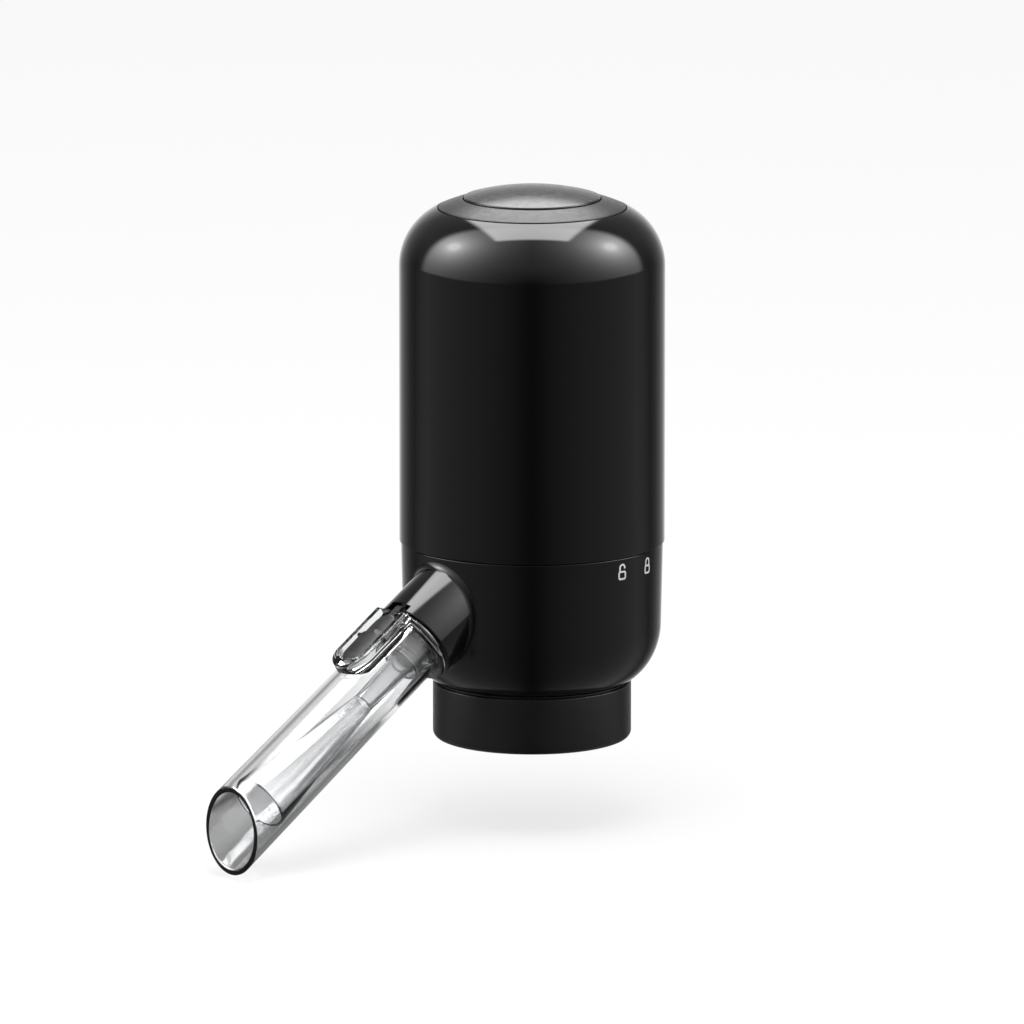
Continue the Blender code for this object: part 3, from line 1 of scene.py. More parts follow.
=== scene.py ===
"""Looks of the electric wine decanter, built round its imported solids.

The frame is the solids' own, in metres: Z runs up the body's axis from the plane of the collar's lower
rim, and the spout leaves along -Y. In the slanted frame of the nozzle and the spout, local Z runs outward
along the spout's axis, local Y is the upper side of the tube and local X is level. Outlines are written in
millimetres and scaled once, where a piece is made.
"""

import math

import bmesh
import bpy
import numpy as np
from mathutils import Matrix, Vector


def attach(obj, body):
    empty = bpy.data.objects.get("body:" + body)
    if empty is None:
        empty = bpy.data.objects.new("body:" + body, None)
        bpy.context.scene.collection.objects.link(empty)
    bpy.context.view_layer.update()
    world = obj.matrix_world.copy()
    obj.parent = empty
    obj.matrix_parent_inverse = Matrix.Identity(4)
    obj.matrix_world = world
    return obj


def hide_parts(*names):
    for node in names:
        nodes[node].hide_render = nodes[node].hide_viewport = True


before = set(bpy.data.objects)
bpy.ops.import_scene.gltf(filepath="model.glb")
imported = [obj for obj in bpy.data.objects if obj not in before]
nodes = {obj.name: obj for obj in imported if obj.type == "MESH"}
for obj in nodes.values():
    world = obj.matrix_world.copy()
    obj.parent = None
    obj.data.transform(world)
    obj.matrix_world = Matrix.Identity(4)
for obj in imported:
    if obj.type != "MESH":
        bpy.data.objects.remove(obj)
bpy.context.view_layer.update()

MM = 0.001
ROUND = 192
ROUND_SMALL = 96
ROUND_TINY = 32
SHARP = 28.0

# Camera: far away with a long lens, a little above the object and to the spout's right
CAMERA_AZIMUTH = math.radians(46.8)
CAMERA_ELEVATION = math.radians(11.2)
CAMERA_DISTANCE = 3.2
IMAGE_WIDTH = 1024
PIXELS_PER_MM = 4.27
ORIGIN_PIXEL = (532.0, 735.0)
FLOOR_WHITE = 0.72
FLOOR_LEVEL = -20.1
FLOOR_HALF = 3000.0

# Body
BODY_RADIUS = 31.0
DOME_CENTRE = 74.0
DOME_RADIUS = 56.0
SHOULDER_R = 16.0
SHOULDER_Z = 111.749
SHOULDER_RADIUS = 15.0
DOME_END = 21.85
SEAM = 46.7
SEAM_HALF = 0.09
LOWER_RADIUS = 30.6
LOWER_FOOT = 30.2
CURVE_TOP = 27.5
CURVE_R = 17.6
CURVE_WIDTH = 12.6
CURVE_HEIGHT = 15.07
CAP_RADIUS = 21.8
LEDGE_TOP = 123.18
BUTTON_RADIUS = 15.9
PIN_ANGLES = (60.0, 180.0, 300.0)
PIN_HEIGHT = 49.6
TWIST = 18.0
NECK_TOP = 53.05
NECK_RADIUS = 28.6
NECK_BORE = 26.6
COLLAR_RADIUS = 23.2
COLLAR_TOP = 13.7

# Nozzle and spout, in the slanted frame
SPOUT_DIP = math.radians(32.5)
AXIS_HEIGHT = 51.8
NOZZLE_RADIUS = 10.3
NOZZLE_END = 44.78
SPOUT_START = 45.08
SPOUT_REACH = 94.9
OUTLET_OFFSET = 1.85

SLANT = Matrix.Translation((0.0, 0.0, AXIS_HEIGHT * MM)) @ Matrix.Rotation(math.pi / 2 + SPOUT_DIP, 4, "X")
OUTLET = SLANT @ Matrix.Translation((0.0, -OUTLET_OFFSET * MM, 0.0))
UPRIGHT = Matrix()


# ---------------------------------------------------------------- outlines

def outline(*parts):
    """An outline with rounded corners, as an array of (radius, height) points.

    Each part is a corner (r, z) or (r, z, rounding), or an array of points taken as it is. A rounded
    corner becomes the arc tangent to both its edges: with unit vectors u and v from the corner along the
    edges and half their angle h, the arc's centre is the corner plus (u + v) / |u + v| times
    rounding / sin h, and its ends lie rounding / tan h away along u and v.
    """
    rows = []
    for part in parts:
        points = np.atleast_2d(np.asarray(part, dtype=float))
        if points.shape[1] == 2:
            points = np.hstack([points, np.zeros((len(points), 1))])
        rows.append(points)
    table = np.vstack(rows)
    corner, rounding = table[:, :2], table[:, 2]
    before = np.roll(corner, 1, axis=0) - corner
    after = np.roll(corner, -1, axis=0) - corner
    before /= np.maximum(np.linalg.norm(before, axis=1, keepdims=True), 1e-9)
    after /= np.maximum(np.linalg.norm(after, axis=1, keepdims=True), 1e-9)
    half = np.arccos(np.clip((before * after).sum(axis=1), -1.0, 1.0)) / 2
    half = np.clip(half, 1e-3, math.pi / 2 - 1e-6)
    middle = before + after
    middle /= np.maximum(np.linalg.norm(middle, axis=1, keepdims=True), 1e-9)
    centre = corner + middle * (rounding / np.sin(half))[:, None]
    reach = (rounding / np.tan(half))[:, None]
    first = corner + before * reach - centre
    last = corner + after * reach - centre
    share = np.linspace(0.0, 1.0, 7)[None, :]
    sweep = (math.pi - 2 * half)[:, None]
    steady = np.maximum(np.sin(sweep), 1e-9)
    weight_first = np.sin((1 - share) * sweep) / steady
    weight_last = np.sin(share * sweep) / steady
    points = (centre[:, None, :] + first[:, None, :] * weight_first[..., None]
              + last[:, None, :] * weight_last[..., None])
    points = np.where(rounding[:, None, None] > 0, points, corner[:, None, :]).reshape(-1, 2)
    keep = np.linalg.norm(points - np.roll(points, 1, axis=0), axis=1) > 1e-4
    return points[keep]


def bend(centre_r, centre_z, width, height, start, stop, count=24):
    """Points of an ellipse: the centre plus (width cos a, height sin a), the angle a in degrees."""
    angle = np.radians(np.linspace(start, stop, count))
    return np.stack([centre_r + width * np.cos(angle), centre_z + height * np.sin(angle)], axis=1)


def body_top(radius, lift=0.0):
    """Height of the dome, or of the shoulder outside it, at a distance from the body's axis."""
    radius = np.asarray(radius, dtype=float)
    dome = DOME_CENTRE + np.sqrt(np.maximum((DOME_RADIUS + lift) ** 2 - radius ** 2, 0.0))
    square = (SHOULDER_RADIUS + lift) ** 2 - (radius - SHOULDER_R) ** 2
    shoulder = SHOULDER_Z + np.sqrt(np.maximum(square, 0.0))
    return np.where(radius <= DOME_END, dome, shoulder)


def dome_line(inner, outer, lift=0.0, count=24):
    """Points along the dome between two distances from the axis."""
    radius = np.linspace(inner, outer, count)
    return np.stack([radius, body_top(radius, lift)], axis=1)


def casing_radius(height):
    """Outer radius of the lower casing: a slight taper down to the bottom curve, then the ellipse."""
    height = np.asarray(height, dtype=float)
    rise = np.clip((height - CURVE_TOP) / (SEAM - CURVE_TOP), 0.0, 1.0)
    straight = LOWER_FOOT + (LOWER_RADIUS - LOWER_FOOT) * rise
    sine = np.clip((CURVE_TOP - height) / CURVE_HEIGHT, 0.0, 1.0)
    return np.where(height >= CURVE_TOP, straight, CURVE_R + CURVE_WIDTH * np.sqrt(1.0 - sine ** 2))


# ---------------------------------------------------------------- sheets of points made into pieces

def lathe(points, segments=ROUND, place=UPRIGHT):
    """A closed outline turned about the axis: (r, z) at angle a lies at (r cos a, r sin a, z)."""
    angle = np.linspace(0.0, 2 * math.pi, segments, endpoint=False)
    radius, height = points[:, 0], points[:, 1]
    grid = np.stack([radius[None, :] * np.cos(angle)[:, None],
                     radius[None, :] * np.sin(angle)[:, None],
                     np.broadcast_to(height[None, :], (segments, len(height)))], axis=-1)
    return grid, True, True, place


def grid_faces(shape, closed_first, closed_second):
    """Quads between the neighbours of a grid of points, joined end to end where a side is closed."""
    first, second = shape
    row = np.arange(first if closed_first else first - 1)
    column = np.arange(second if closed_second else second - 1)
    low, left = np.meshgrid(row, column, indexing="ij")
    high, right = (low + 1) % first, (left + 1) % second
    corners = [low * second + left, low * second + right, high * second + right, high * second + left]
    return np.stack(corners, axis=-1).reshape(-1, 4)


def new_object(name, points, faces, angle):
    """One welded mesh object from points in metres and quads."""
    mesh = bpy.data.meshes.new(name)
    mesh.from_pydata(points, [], faces.tolist())
    obj = bpy.data.objects.new(name, mesh)
    bpy.context.scene.collection.objects.link(obj)
    weld(obj, angle)
    return obj


def piece(name, *sheets, angle=SHARP):
    """One mesh object from several grids: each grid's points are placed, then all are welded."""
    points, faces, count = [], [], 0
    for grid, closed_first, closed_second, place in sheets:
        flat = grid.reshape(-1, 3) * MM
        turn = np.array(place)
        points.append(flat @ turn[:3, :3].T + turn[:3, 3])
        faces.append(grid_faces(grid.shape[:2], closed_first, closed_second) + count)
        count += len(flat)
    return new_object(name, np.vstack(points), np.vstack(faces), angle)


def weld(obj, angle=SHARP):
    """Merges points that lie together, turns the faces outward and marks the sharp edges."""
    work = bmesh.new()
    work.from_mesh(obj.data)
    bmesh.ops.remove_doubles(work, verts=work.verts[:], dist=1e-6)
    bmesh.ops.dissolve_degenerate(work, edges=work.edges[:], dist=1e-7)
    bmesh.ops.recalc_face_normals(work, faces=work.faces[:])
    work.to_mesh(obj.data)
    work.free()
    obj.data.shade_smooth()
    obj.data.set_sharp_from_angle(angle=math.radians(angle))


def drop(obj):
    """Removes a helper piece together with its mesh."""
    spare = obj.data
    bpy.data.objects.remove(obj)
    bpy.data.meshes.remove(spare)


def combine(obj, other, operation):
    """Adds or cuts one piece with another and drops the other."""
    step = obj.modifiers.new("cut", "BOOLEAN")
    step.operation = operation
    step.solver = "EXACT"
    step.object = other
    bpy.context.view_layer.update()
    made = bpy.data.meshes.new_from_object(obj.evaluated_get(bpy.context.evaluated_depsgraph_get()))
    obj.modifiers.clear()
    spare, obj.data = obj.data, made
    bpy.data.meshes.remove(spare)
    drop(other)
    weld(obj)
    return obj


def dress(obj, body, slot, *replaced, look=None):
    """Gives a piece its body, its finish slot with its material and the nodes it stands in for."""
    obj.data.materials.clear()
    obj.data.materials.append(look or CARRIED[slot])
    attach(obj, body)
    if replaced:
        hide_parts(*replaced)
    return obj


# ---------------------------------------------------------------- materials

def node(tree, kind, inputs, **settings):
    """A shader node with its settings; an input is given a value, or a socket to be joined to."""
    made = tree.nodes.new("ShaderNode" + kind)
    for name, value in settings.items():
        setattr(made, name, value)
    for name, value in inputs.items():
        if isinstance(value, bpy.types.NodeSocket):
            tree.links.new(value, made.inputs[name])
        else:
            made.inputs[name].default_value = value
    return made


def finish(name, colour, roughness, metallic=0.0, specular=0.5, ior=1.5, clear=0.0, coat=0.0):
    """A Principled material and its parts; constants sit on the shader's own sockets."""
    look = bpy.data.materials.new(name)
    look.use_nodes = True
    shader = look.node_tree.nodes["Principled BSDF"]
    shader.inputs["Base Color"].default_value = (*colour, 1.0)
    shader.inputs["Roughness"].default_value = roughness
    shader.inputs["Metallic"].default_value = metallic
    shader.inputs["Specular IOR Level"].default_value = specular
    shader.inputs["IOR"].default_value = ior
    shader.inputs["Transmission Weight"].default_value = clear
    shader.inputs["Coat Weight"].default_value = coat
    shader.inputs["Coat Roughness"].default_value = 0.03
    look.diffuse_color = (*colour, 1.0)
    return look, shader


def place_of(look):
    """The object's own coordinates in a material."""
    return node(look.node_tree, "TexCoord", {}).outputs["Object"]


def noise(look, scale, detail=3.0, stretch=(1.0, 1.0, 1.0)):
    """Noise on the object's own coordinates, in cells per metre."""
    mapping = node(look.node_tree, "Mapping", {"Vector": place_of(look), "Scale": stretch})
    texture = node(look.node_tree, "TexNoise", {"Vector": mapping.outputs["Vector"], "Scale": scale,
                                                "Detail": detail})
    return texture.outputs["Fac"]


def vary(look, shader, source, socket, low, high):
    """Lets a noise drive a socket between two values."""
    spread = node(look.node_tree, "MapRange", {"Value": source, "From Min": 0.3, "From Max": 0.7,
                                               "To Min": low, "To Max": high})
    look.node_tree.links.new(spread.outputs["Result"], shader.inputs[socket])


def tint(look, shader, source, low, high):
    """Lets a noise blend the colour between two close tones."""
    ramp = node(look.node_tree, "ValToRGB", {"Fac": source})
    for element, position, tone in zip(ramp.color_ramp.elements, (0.35, 0.65), (low, high)):
        element.position = position
        element.color = (*tone, 1.0)
    look.node_tree.links.new(ramp.outputs["Color"], shader.inputs["Base Color"])


def relief(look, shader, source, strength, depth):
    """A fine bump from a noise, its depth in millimetres."""
    bump = node(look.node_tree, "Bump", {"Strength": strength, "Distance": depth * MM, "Height": source})
    look.node_tree.links.new(bump.outputs["Normal"], shader.inputs["Normal"])


def shiny_black():
    """Polished moulded black: faint flow marks in the gloss and a very shallow mould waviness."""
    look, shader = finish("casing_gloss", (0.0030, 0.0030, 0.0034), 0.08)
    vary(look, shader, noise(look, 90.0, 4.0, (1.0, 1.0, 0.35)), "Roughness", 0.05, 0.10)
    relief(look, shader, noise(look, 60.0, 1.0), 0.10, 0.02)
    return look


def satin_black():
    """Spark-eroded black: fine grain in the surface and a little variation in the sheen."""
    look, shader = finish("satin_trim", (0.006, 0.006, 0.0065), 0.34, specular=0.38)
    vary(look, shader, noise(look, 700.0, 4.0), "Roughness", 0.29, 0.40)
    relief(look, shader, noise(look, 2600.0, 2.0), 0.25, 0.010)
    return look


def button_black():
    """The button's finer satin, a little glossier than the ring round it."""
    look, shader = finish("button_satin", (0.016, 0.016, 0.017), 0.24, specular=0.5)
    vary(look, shader, noise(look, 500.0, 4.0), "Roughness", 0.20, 0.28)
    relief(look, shader, noise(look, 2200.0, 2.0), 0.15, 0.008)
    return look


def clear_plastic():
    """Clear moulded plastic with the slight waviness that the mould leaves."""
    look, shader = finish("clear_spout", (0.955, 0.96, 0.965), 0.0, ior=1.49, clear=1.0)
    vary(look, shader, noise(look, 120.0, 2.0), "Roughness", 0.0, 0.018)
    relief(look, shader, noise(look, 110.0, 2.0), 0.25, 0.03)
    return look


def frosted_plastic():
    """Grey half-clear plastic of the aerating tube, with faint streaks along it."""
    look, shader = finish("grey_frost", (0.76, 0.77, 0.78), 0.10, ior=1.47, clear=0.95)
    vary(look, shader, noise(look, 260.0, 3.0, (1.0, 0.4, 0.4)), "Roughness", 0.06, 0.15)
    tint(look, shader, noise(look, 200.0, 2.0), (0.72, 0.73, 0.74), (0.80, 0.81, 0.82))
    return look


def rubber():
    """Soft black rubber with a matt, slightly mottled skin."""
    look, shader = finish("seal_rubber", (0.022, 0.022, 0.023), 0.62, specular=0.35)
    vary(look, shader, noise(look, 380.0, 4.0), "Roughness", 0.55, 0.72)
    relief(look, shader, noise(look, 1500.0, 3.0), 0.35, 0.015)
    return look


def silicone():
    """Milky hose silicone."""
    look, shader = finish("hose_silicone", (0.70, 0.71, 0.73), 0.42, ior=1.41, clear=0.25)
    vary(look, shader, noise(look, 420.0, 3.0), "Roughness", 0.36, 0.50)
    relief(look, shader, noise(look, 900.0, 2.0), 0.2, 0.01)
    return look


def engineering_grey():
    """Moulded grey plastic of the inner carriers."""
    look, shader = finish("carrier_grey", (0.20, 0.21, 0.23), 0.48)
    vary(look, shader, noise(look, 350.0, 4.0), "Roughness", 0.42, 0.56)
    tint(look, shader, noise(look, 140.0, 3.0), (0.19, 0.20, 0.22), (0.225, 0.235, 0.25))
    relief(look, shader, noise(look, 1800.0, 2.0), 0.3, 0.012)
    return look


def metal(name, low, high, roughness, stretch):
    """Drawn or turned metal: fine lines along one direction in gloss and colour."""
    look, shader = finish(name, high, roughness, metallic=1.0)
    lines = noise(look, 900.0, 3.0, stretch)
    vary(look, shader, lines, "Roughness", roughness * 0.75, roughness * 1.35)
    tint(look, shader, lines, low, high)
    relief(look, shader, lines, 0.15, 0.006)
    return look


def magnet():
    """Sintered magnet: dark and granular."""
    look, shader = finish("ferrite", (0.085, 0.085, 0.092), 0.58)
    tint(look, shader, noise(look, 2400.0, 4.0), (0.07, 0.07, 0.076), (0.12, 0.12, 0.13))
    relief(look, shader, noise(look, 2600.0, 3.0), 0.4, 0.02)
    return look


def windings():
    """Enamelled copper wound in fine turns, shown as close ridges along the rotor."""
    look, shader = finish("copper_turns", (0.72, 0.30, 0.13), 0.30, metallic=1.0)
    wave = node(look.node_tree, "TexWave", {"Vector": place_of(look), "Scale": 900.0, "Distortion": 0.6},
                bands_direction="Z")
    tint(look, shader, wave.outputs["Fac"], (0.42, 0.15, 0.06), (0.78, 0.34, 0.15))
    relief(look, shader, wave.outputs["Fac"], 0.5, 0.08)
    return look


def board_lacquer():
    """Green solder lacquer with the faint tracks under it."""
    look, shader = finish("board_lacquer", (0.018, 0.15, 0.06), 0.32, coat=0.3)
    tones = {"Color1": (0.016, 0.14, 0.055, 1.0), "Color2": (0.020, 0.17, 0.070, 1.0),
             "Mortar": (0.035, 0.24, 0.10, 1.0)}
    tracks = node(look.node_tree, "TexBrick", {"Vector": place_of(look), "Scale": 260.0, "Mortar Size": 0.06,
                                               **tones})
    look.node_tree.links.new(tracks.outputs["Color"], shader.inputs["Base Color"])
    vary(look, shader, noise(look, 300.0, 3.0), "Roughness", 0.27, 0.38)
    return look


def sleeve():
    """Printed film shrunk on the cells, in one plain colour."""
    look, shader = finish("cell_film", (0.05, 0.11, 0.30), 0.30, coat=0.25)
    tint(look, shader, noise(look, 150.0, 2.0, (1.0, 1.0, 0.2)), (0.045, 0.10, 0.27), (0.06, 0.13, 0.34))
    vary(look, shader, noise(look, 500.0, 3.0), "Roughness", 0.25, 0.36)
    return look


def insulation(name, low, high):
    """Soft insulation of a wire."""
    look, shader = finish(name, high, 0.42)
    tint(look, shader, noise(look, 600.0, 2.0), low, high)
    vary(look, shader, noise(look, 700.0, 3.0), "Roughness", 0.36, 0.50)
    return look


def white_print():
    """White pad print of the lock marks, a touch uneven like all thin ink."""
    look, shader = finish("mark_print", (0.62, 0.62, 0.62), 0.45)
    tint(look, shader, noise(look, 1800.0, 3.0), (0.55, 0.55, 0.55), (0.68, 0.68, 0.68))
    vary(look, shader, noise(look, 2200.0, 2.0), "Roughness", 0.38, 0.55)
    return look


METAL_LINES = (1.0, 1.0, 0.05)
CARRIED = {
    "gloss_black": shiny_black(), "satin_black": satin_black(), "button_black": button_black(),
    "clear_plastic": clear_plastic(), "frosted_plastic": frosted_plastic(), "rubber": rubber(),
    "silicone": silicone(), "grey_plastic": engineering_grey(),
    "steel": metal("bright_steel", (0.46, 0.47, 0.49), (0.60, 0.61, 0.63), 0.26, METAL_LINES),
    "brass": metal("turned_brass", (0.58, 0.41, 0.17), (0.76, 0.56, 0.27), 0.27, METAL_LINES),
    "magnet": magnet(), "copper": windings(), "board_green": board_lacquer(), "cell_sleeve": sleeve(),
    "wire_red": insulation("wire_red_skin", (0.40, 0.02, 0.015), (0.52, 0.035, 0.02)),
    "wire_black": insulation("wire_black_skin", (0.014, 0.014, 0.014), (0.024, 0.024, 0.024)),
}
PRINT = white_print()


def redress_nodes():
    """Every solid that is kept gets the detailed material of its finish."""
    for node in nodes.values():
        for slot in node.material_slots:
            if slot.material and slot.material.name in CARRIED:
                slot.material = CARRIED[slot.material.name]


# ---------------------------------------------------------------- body

def make_upper_shell():
    """The outer casing: a straight side, the shoulder's quarter round and the ledge for the ring."""
    opening = CAP_RADIUS + 0.2
    start = math.degrees(math.acos((opening - SHOULDER_R) / SHOULDER_RADIUS))
    inner = SHOULDER_RADIUS - 2.0
    inner_end = math.degrees(math.asin((LEDGE_TOP - 2.0 - SHOULDER_Z) / inner))
    edge = bend(SHOULDER_R, SHOULDER_Z, SHOULDER_RADIUS, SHOULDER_RADIUS, start - 1.2, 0.0, 40)
    rim = (opening, SHOULDER_Z + SHOULDER_RADIUS * math.sin(math.radians(start)), 0.22)
    points = outline(rim, edge, (BODY_RADIUS, SEAM + SEAM_HALF, 0.25), (29.0, SEAM + SEAM_HALF, 0.2),
                     bend(SHOULDER_R, SHOULDER_Z, inner, inner, 0.0, inner_end, 20),
                     (19.9, LEDGE_TOP - 2.0), (19.9, LEDGE_TOP, 0.15), (opening, LEDGE_TOP))
    sheets = [lathe(points)]
    pin = outline((0.0, 27.1), (1.1, 27.1, 0.25), (1.1, 30.0), (0.0, 30.0))
    for angle in PIN_ANGLES:
        turn = Matrix.Rotation(math.radians(angle), 4, "Z") @ Matrix.Rotation(math.pi / 2, 4, "Y")
        sheets.append(lathe(pin, ROUND_TINY, Matrix.Translation((0.0, 0.0, PIN_HEIGHT * MM)) @ turn))
    return dress(piece("upper_shell", *sheets), "housing", "gloss_black", "upper_casing")


def make_top_ring():
    """The satin ring on the dome, with the skirt that holds the button's pad."""
    bore = BUTTON_RADIUS + 0.2
    seat = LEDGE_TOP + 0.3
    points = outline((CAP_RADIUS, float(body_top(CAP_RADIUS)), 0.2), (CAP_RADIUS, seat), (19.6, seat, 0.15),
                     (19.6, 117.58, 0.3), (17.1, 117.58, 0.3), (17.1, LEDGE_TOP), (bore, LEDGE_TOP, 0.15),
                     (bore, float(body_top(bore)), 0.2), dome_line(bore + 0.5, CAP_RADIUS - 0.5))
    return dress(piece("top_ring", lathe(points)), "housing", "satin_black", "cap_ring")


def make_push_button():
    """The round key: a crowned disc on its flange, with the stem that meets the switch."""
    points = outline((0.0, DOME_CENTRE + DOME_RADIUS + 0.3), dome_line(0.6, BUTTON_RADIUS - 0.6, 0.3),
                     (BUTTON_RADIUS, float(body_top(BUTTON_RADIUS, 0.3)), 0.35), (BUTTON_RADIUS, 122.88),
                     (16.8, 122.88, 0.2), (16.8, 121.48, 0.2), (14.1, 121.48, 0.3), (14.1, 124.9, 0.8),
                     (3.0, 127.9, 0.8), (3.0, 115.9, 0.4), (0.0, 115.9))
    return dress(piece("push_button", lathe(points)), "button", "button_black", "power_button")


def neck_ring():
    """The neck's wall over cells of angle and height, with the cells of the three lock slots left out.

    Each cell that stays gives an outer and an inner quad. Where a cell that stays meets one that is left
    out, a quad joins the two walls, so the ring is closed all round its slots.
    """
    reach = math.degrees(math.asin((29.0 * math.sin(math.radians(TWIST / 2)) + 1.4) / 28.0))
    entry_end = math.degrees(math.asin(2.837 / 28.0))
    marks = [np.arange(0.0, 360.0, 2.0)]
    spans = []
    for angle in PIN_ANGLES:
        middle = angle - TWIST / 2
        spans.append((middle - reach, middle + reach, middle - reach - 0.6, middle - entry_end))
        marks.append(np.array(spans[-1]))
    angle = np.unique(np.round(np.concatenate(marks) % 360.0, 6))
    height = np.array([45.4, 46.9, PIN_HEIGHT - 1.4, PIN_HEIGHT, PIN_HEIGHT + 1.4, NECK_TOP - 0.35, NECK_TOP])
    middle = (angle + np.diff(np.append(angle, angle[0] + 360.0)) / 2) % 360.0
    level = (height[1:] + height[:-1]) / 2
    solid = np.ones((len(angle), len(level)), dtype=bool)
    for low, high, enter, leave in spans:
        run = (middle > low)[:, None] & (middle < high)[:, None] & (abs(level - PIN_HEIGHT) < 1.4)[None, :]
        rise = (middle > enter)[:, None] & (middle < leave)[:, None] & (level > PIN_HEIGHT)[None, :]
        solid &= ~(run | rise)
    turn = np.radians(angle)
    bevel = np.where(height >= NECK_TOP - 1e-6, 0.35, 0.0)
    rings = [np.full(len(height), NECK_BORE + 0.04), NECK_RADIUS - bevel]
    cosine, sine = np.cos(turn)[:, None], np.sin(turn)[:, None]
    level_z = np.broadcast_to(height, (len(turn), len(height)))
    grid = np.stack([np.stack([radius[None, :] * cosine, radius[None, :] * sine, level_z], axis=-1)
                     for radius in rings])
    count = len(turn) * len(height)
    at = np.arange(count).reshape(len(turn), len(height))
    ahead = np.roll(at, -1, axis=0)
    outer = np.stack([at[:, :-1], ahead[:, :-1], ahead[:, 1:], at[:, 1:]], axis=-1)[solid]
    wall = solid != np.roll(solid, 1, axis=0)
    upright = np.stack([at[:, :-1], at[:, 1:], at[:, 1:] + count, at[:, :-1] + count], axis=-1)[wall]
    padded = np.pad(solid, ((0, 0), (1, 1)))
    shelf = padded[:, 1:] != padded[:, :-1]
    level_faces = np.stack([at, ahead, ahead + count, at + count], axis=-1)[shelf]
    return grid.reshape(-1, 3) * MM, np.vstack([outer, outer + count, upright, level_faces])


def slanted(across, up, along):
    """Points of the slanted frame in the part's own frame, in millimetres."""
    sine, cosine = math.sin(SPOUT_DIP), math.cos(SPOUT_DIP)
    return np.stack([across, -sine * up - cosine * along, AXIS_HEIGHT + cosine * up - sine * along], axis=-1)


def reach_casing(across, up):
    """Distance along the spout's axis at which a line meets the casing, by halving the interval."""
    low = np.full_like(across, 15.0)
    high = np.full_like(across, 60.0)
    for _ in range(44):
        middle = (low + high) / 2
        spot = slanted(across, up, middle)
        outside = np.hypot(spot[..., 0], spot[..., 1]) > casing_radius(spot[..., 2])
        high = np.where(outside, middle, high)
        low = np.where(outside, low, middle)
    return (low + high) / 2


def nozzle_lip():
    """The fillet round the nozzle's root.

    At each angle round the nozzle it is a quadratic curve from the casing, past the corner where nozzle
    and casing meet, to the nozzle's side, so it is tangent to both; its back is sunk under the surfaces.
    """
    angle = np.linspace(0.0, 2 * math.pi, ROUND, endpoint=False)
    width = 1.15 + 0.75 * (1 - np.sin(angle)) / 2
    cosine, sine = np.cos(angle), np.sin(angle)
    far = NOZZLE_RADIUS + width
    casing_point = slanted(far * cosine, far * sine, reach_casing(far * cosine, far * sine))
    along = reach_casing(NOZZLE_RADIUS * cosine, NOZZLE_RADIUS * sine)
    corner = slanted(NOZZLE_RADIUS * cosine, NOZZLE_RADIUS * sine, along)
    nozzle_point = slanted(NOZZLE_RADIUS * cosine, NOZZLE_RADIUS * sine, along + width)
    back_radius = NOZZLE_RADIUS - 0.6
    back = slanted(back_radius * cosine, back_radius * sine, along - 0.8)
    share = np.linspace(0.0, 1.0, 13)[None, :, None]
    curve = (casing_point[:, None] * (1 - share) ** 2 + corner[:, None] * 2 * share * (1 - share)
             + nozzle_point[:, None] * share ** 2)
    return np.concatenate([curve, back[:, None]], axis=1), True, True, UPRIGHT


def make_lower_shell():
    """The lower casing: a slightly tapered side, the round bottom, its inner wall, neck and bosses."""
    stop = math.degrees(math.acos((COLLAR_RADIUS - CURVE_R) / CURVE_WIDTH))
    inner_stop = math.degrees(math.asin((CURVE_TOP - 16.3) / (CURVE_HEIGHT - 2.0)))
    top = SEAM - SEAM_HALF
    points = outline((NECK_BORE, top), (LOWER_RADIUS, top, 0.25),
                     bend(CURVE_R, CURVE_TOP, CURVE_WIDTH, CURVE_HEIGHT, 0.0, -stop, 40),
                     (3.5, 14.0), (3.5, 16.3),
                     bend(CURVE_R, CURVE_TOP, CURVE_WIDTH - 2.0, CURVE_HEIGHT - 2.0, -inner_stop, 0.0, 24),
                     (LOWER_RADIUS - 2.0, 40.85), (NECK_BORE, 42.85))
    boss = outline((1.2, 38.0), (1.2, 42.7), (2.4, 42.7, 0.25), (2.4, 15.0), (1.2, 15.0))
    low_boss = outline((1.2, 15.0), (1.2, 20.9), (2.4, 20.9, 0.25), (2.4, 15.0))
    sheets = [lathe(points), nozzle_lip()]
    bosses = ((boss, 22.5, (6.0, 96.0, 186.0, 306.0)), (low_boss, 16.8, (90.0, 210.0, 330.0)))
    for shape, radius, angles in bosses:
        for angle in angles:
            turn = math.radians(angle)
            place = Matrix.Translation((radius * MM * math.cos(turn), radius * MM * math.sin(turn), 0.0))
            sheets.append(lathe(shape, ROUND_TINY, place))
    shell = piece("lower_shell", *sheets)
    neck = new_object("neck", *neck_ring(), SHARP)
    work = bmesh.new()
    work.from_mesh(shell.data)
    work.from_mesh(neck.data)
    work.to_mesh(shell.data)
    work.free()
    drop(neck)
    shell.data.shade_smooth()
    shell.data.set_sharp_from_angle(angle=math.radians(SHARP))
    return dress(shell, "base", "gloss_black", "lower_casing")


def make_collar():
    """The ring over the bottle's lip, with a rounded foot and a small step under the casing."""
    points = outline((22.4, COLLAR_TOP, 0.15), (22.4, 13.35), (COLLAR_RADIUS, 13.25, 0.3),
                     (COLLAR_RADIUS, 0.0, 1.6), (19.4, 0.0, 0.4), (19.4, 10.2, 0.2), (14.2, 10.2, 0.2),
                     (14.2, COLLAR_TOP))
    return dress(piece("collar", lathe(points)), "base", "satin_black", "collar_ring")


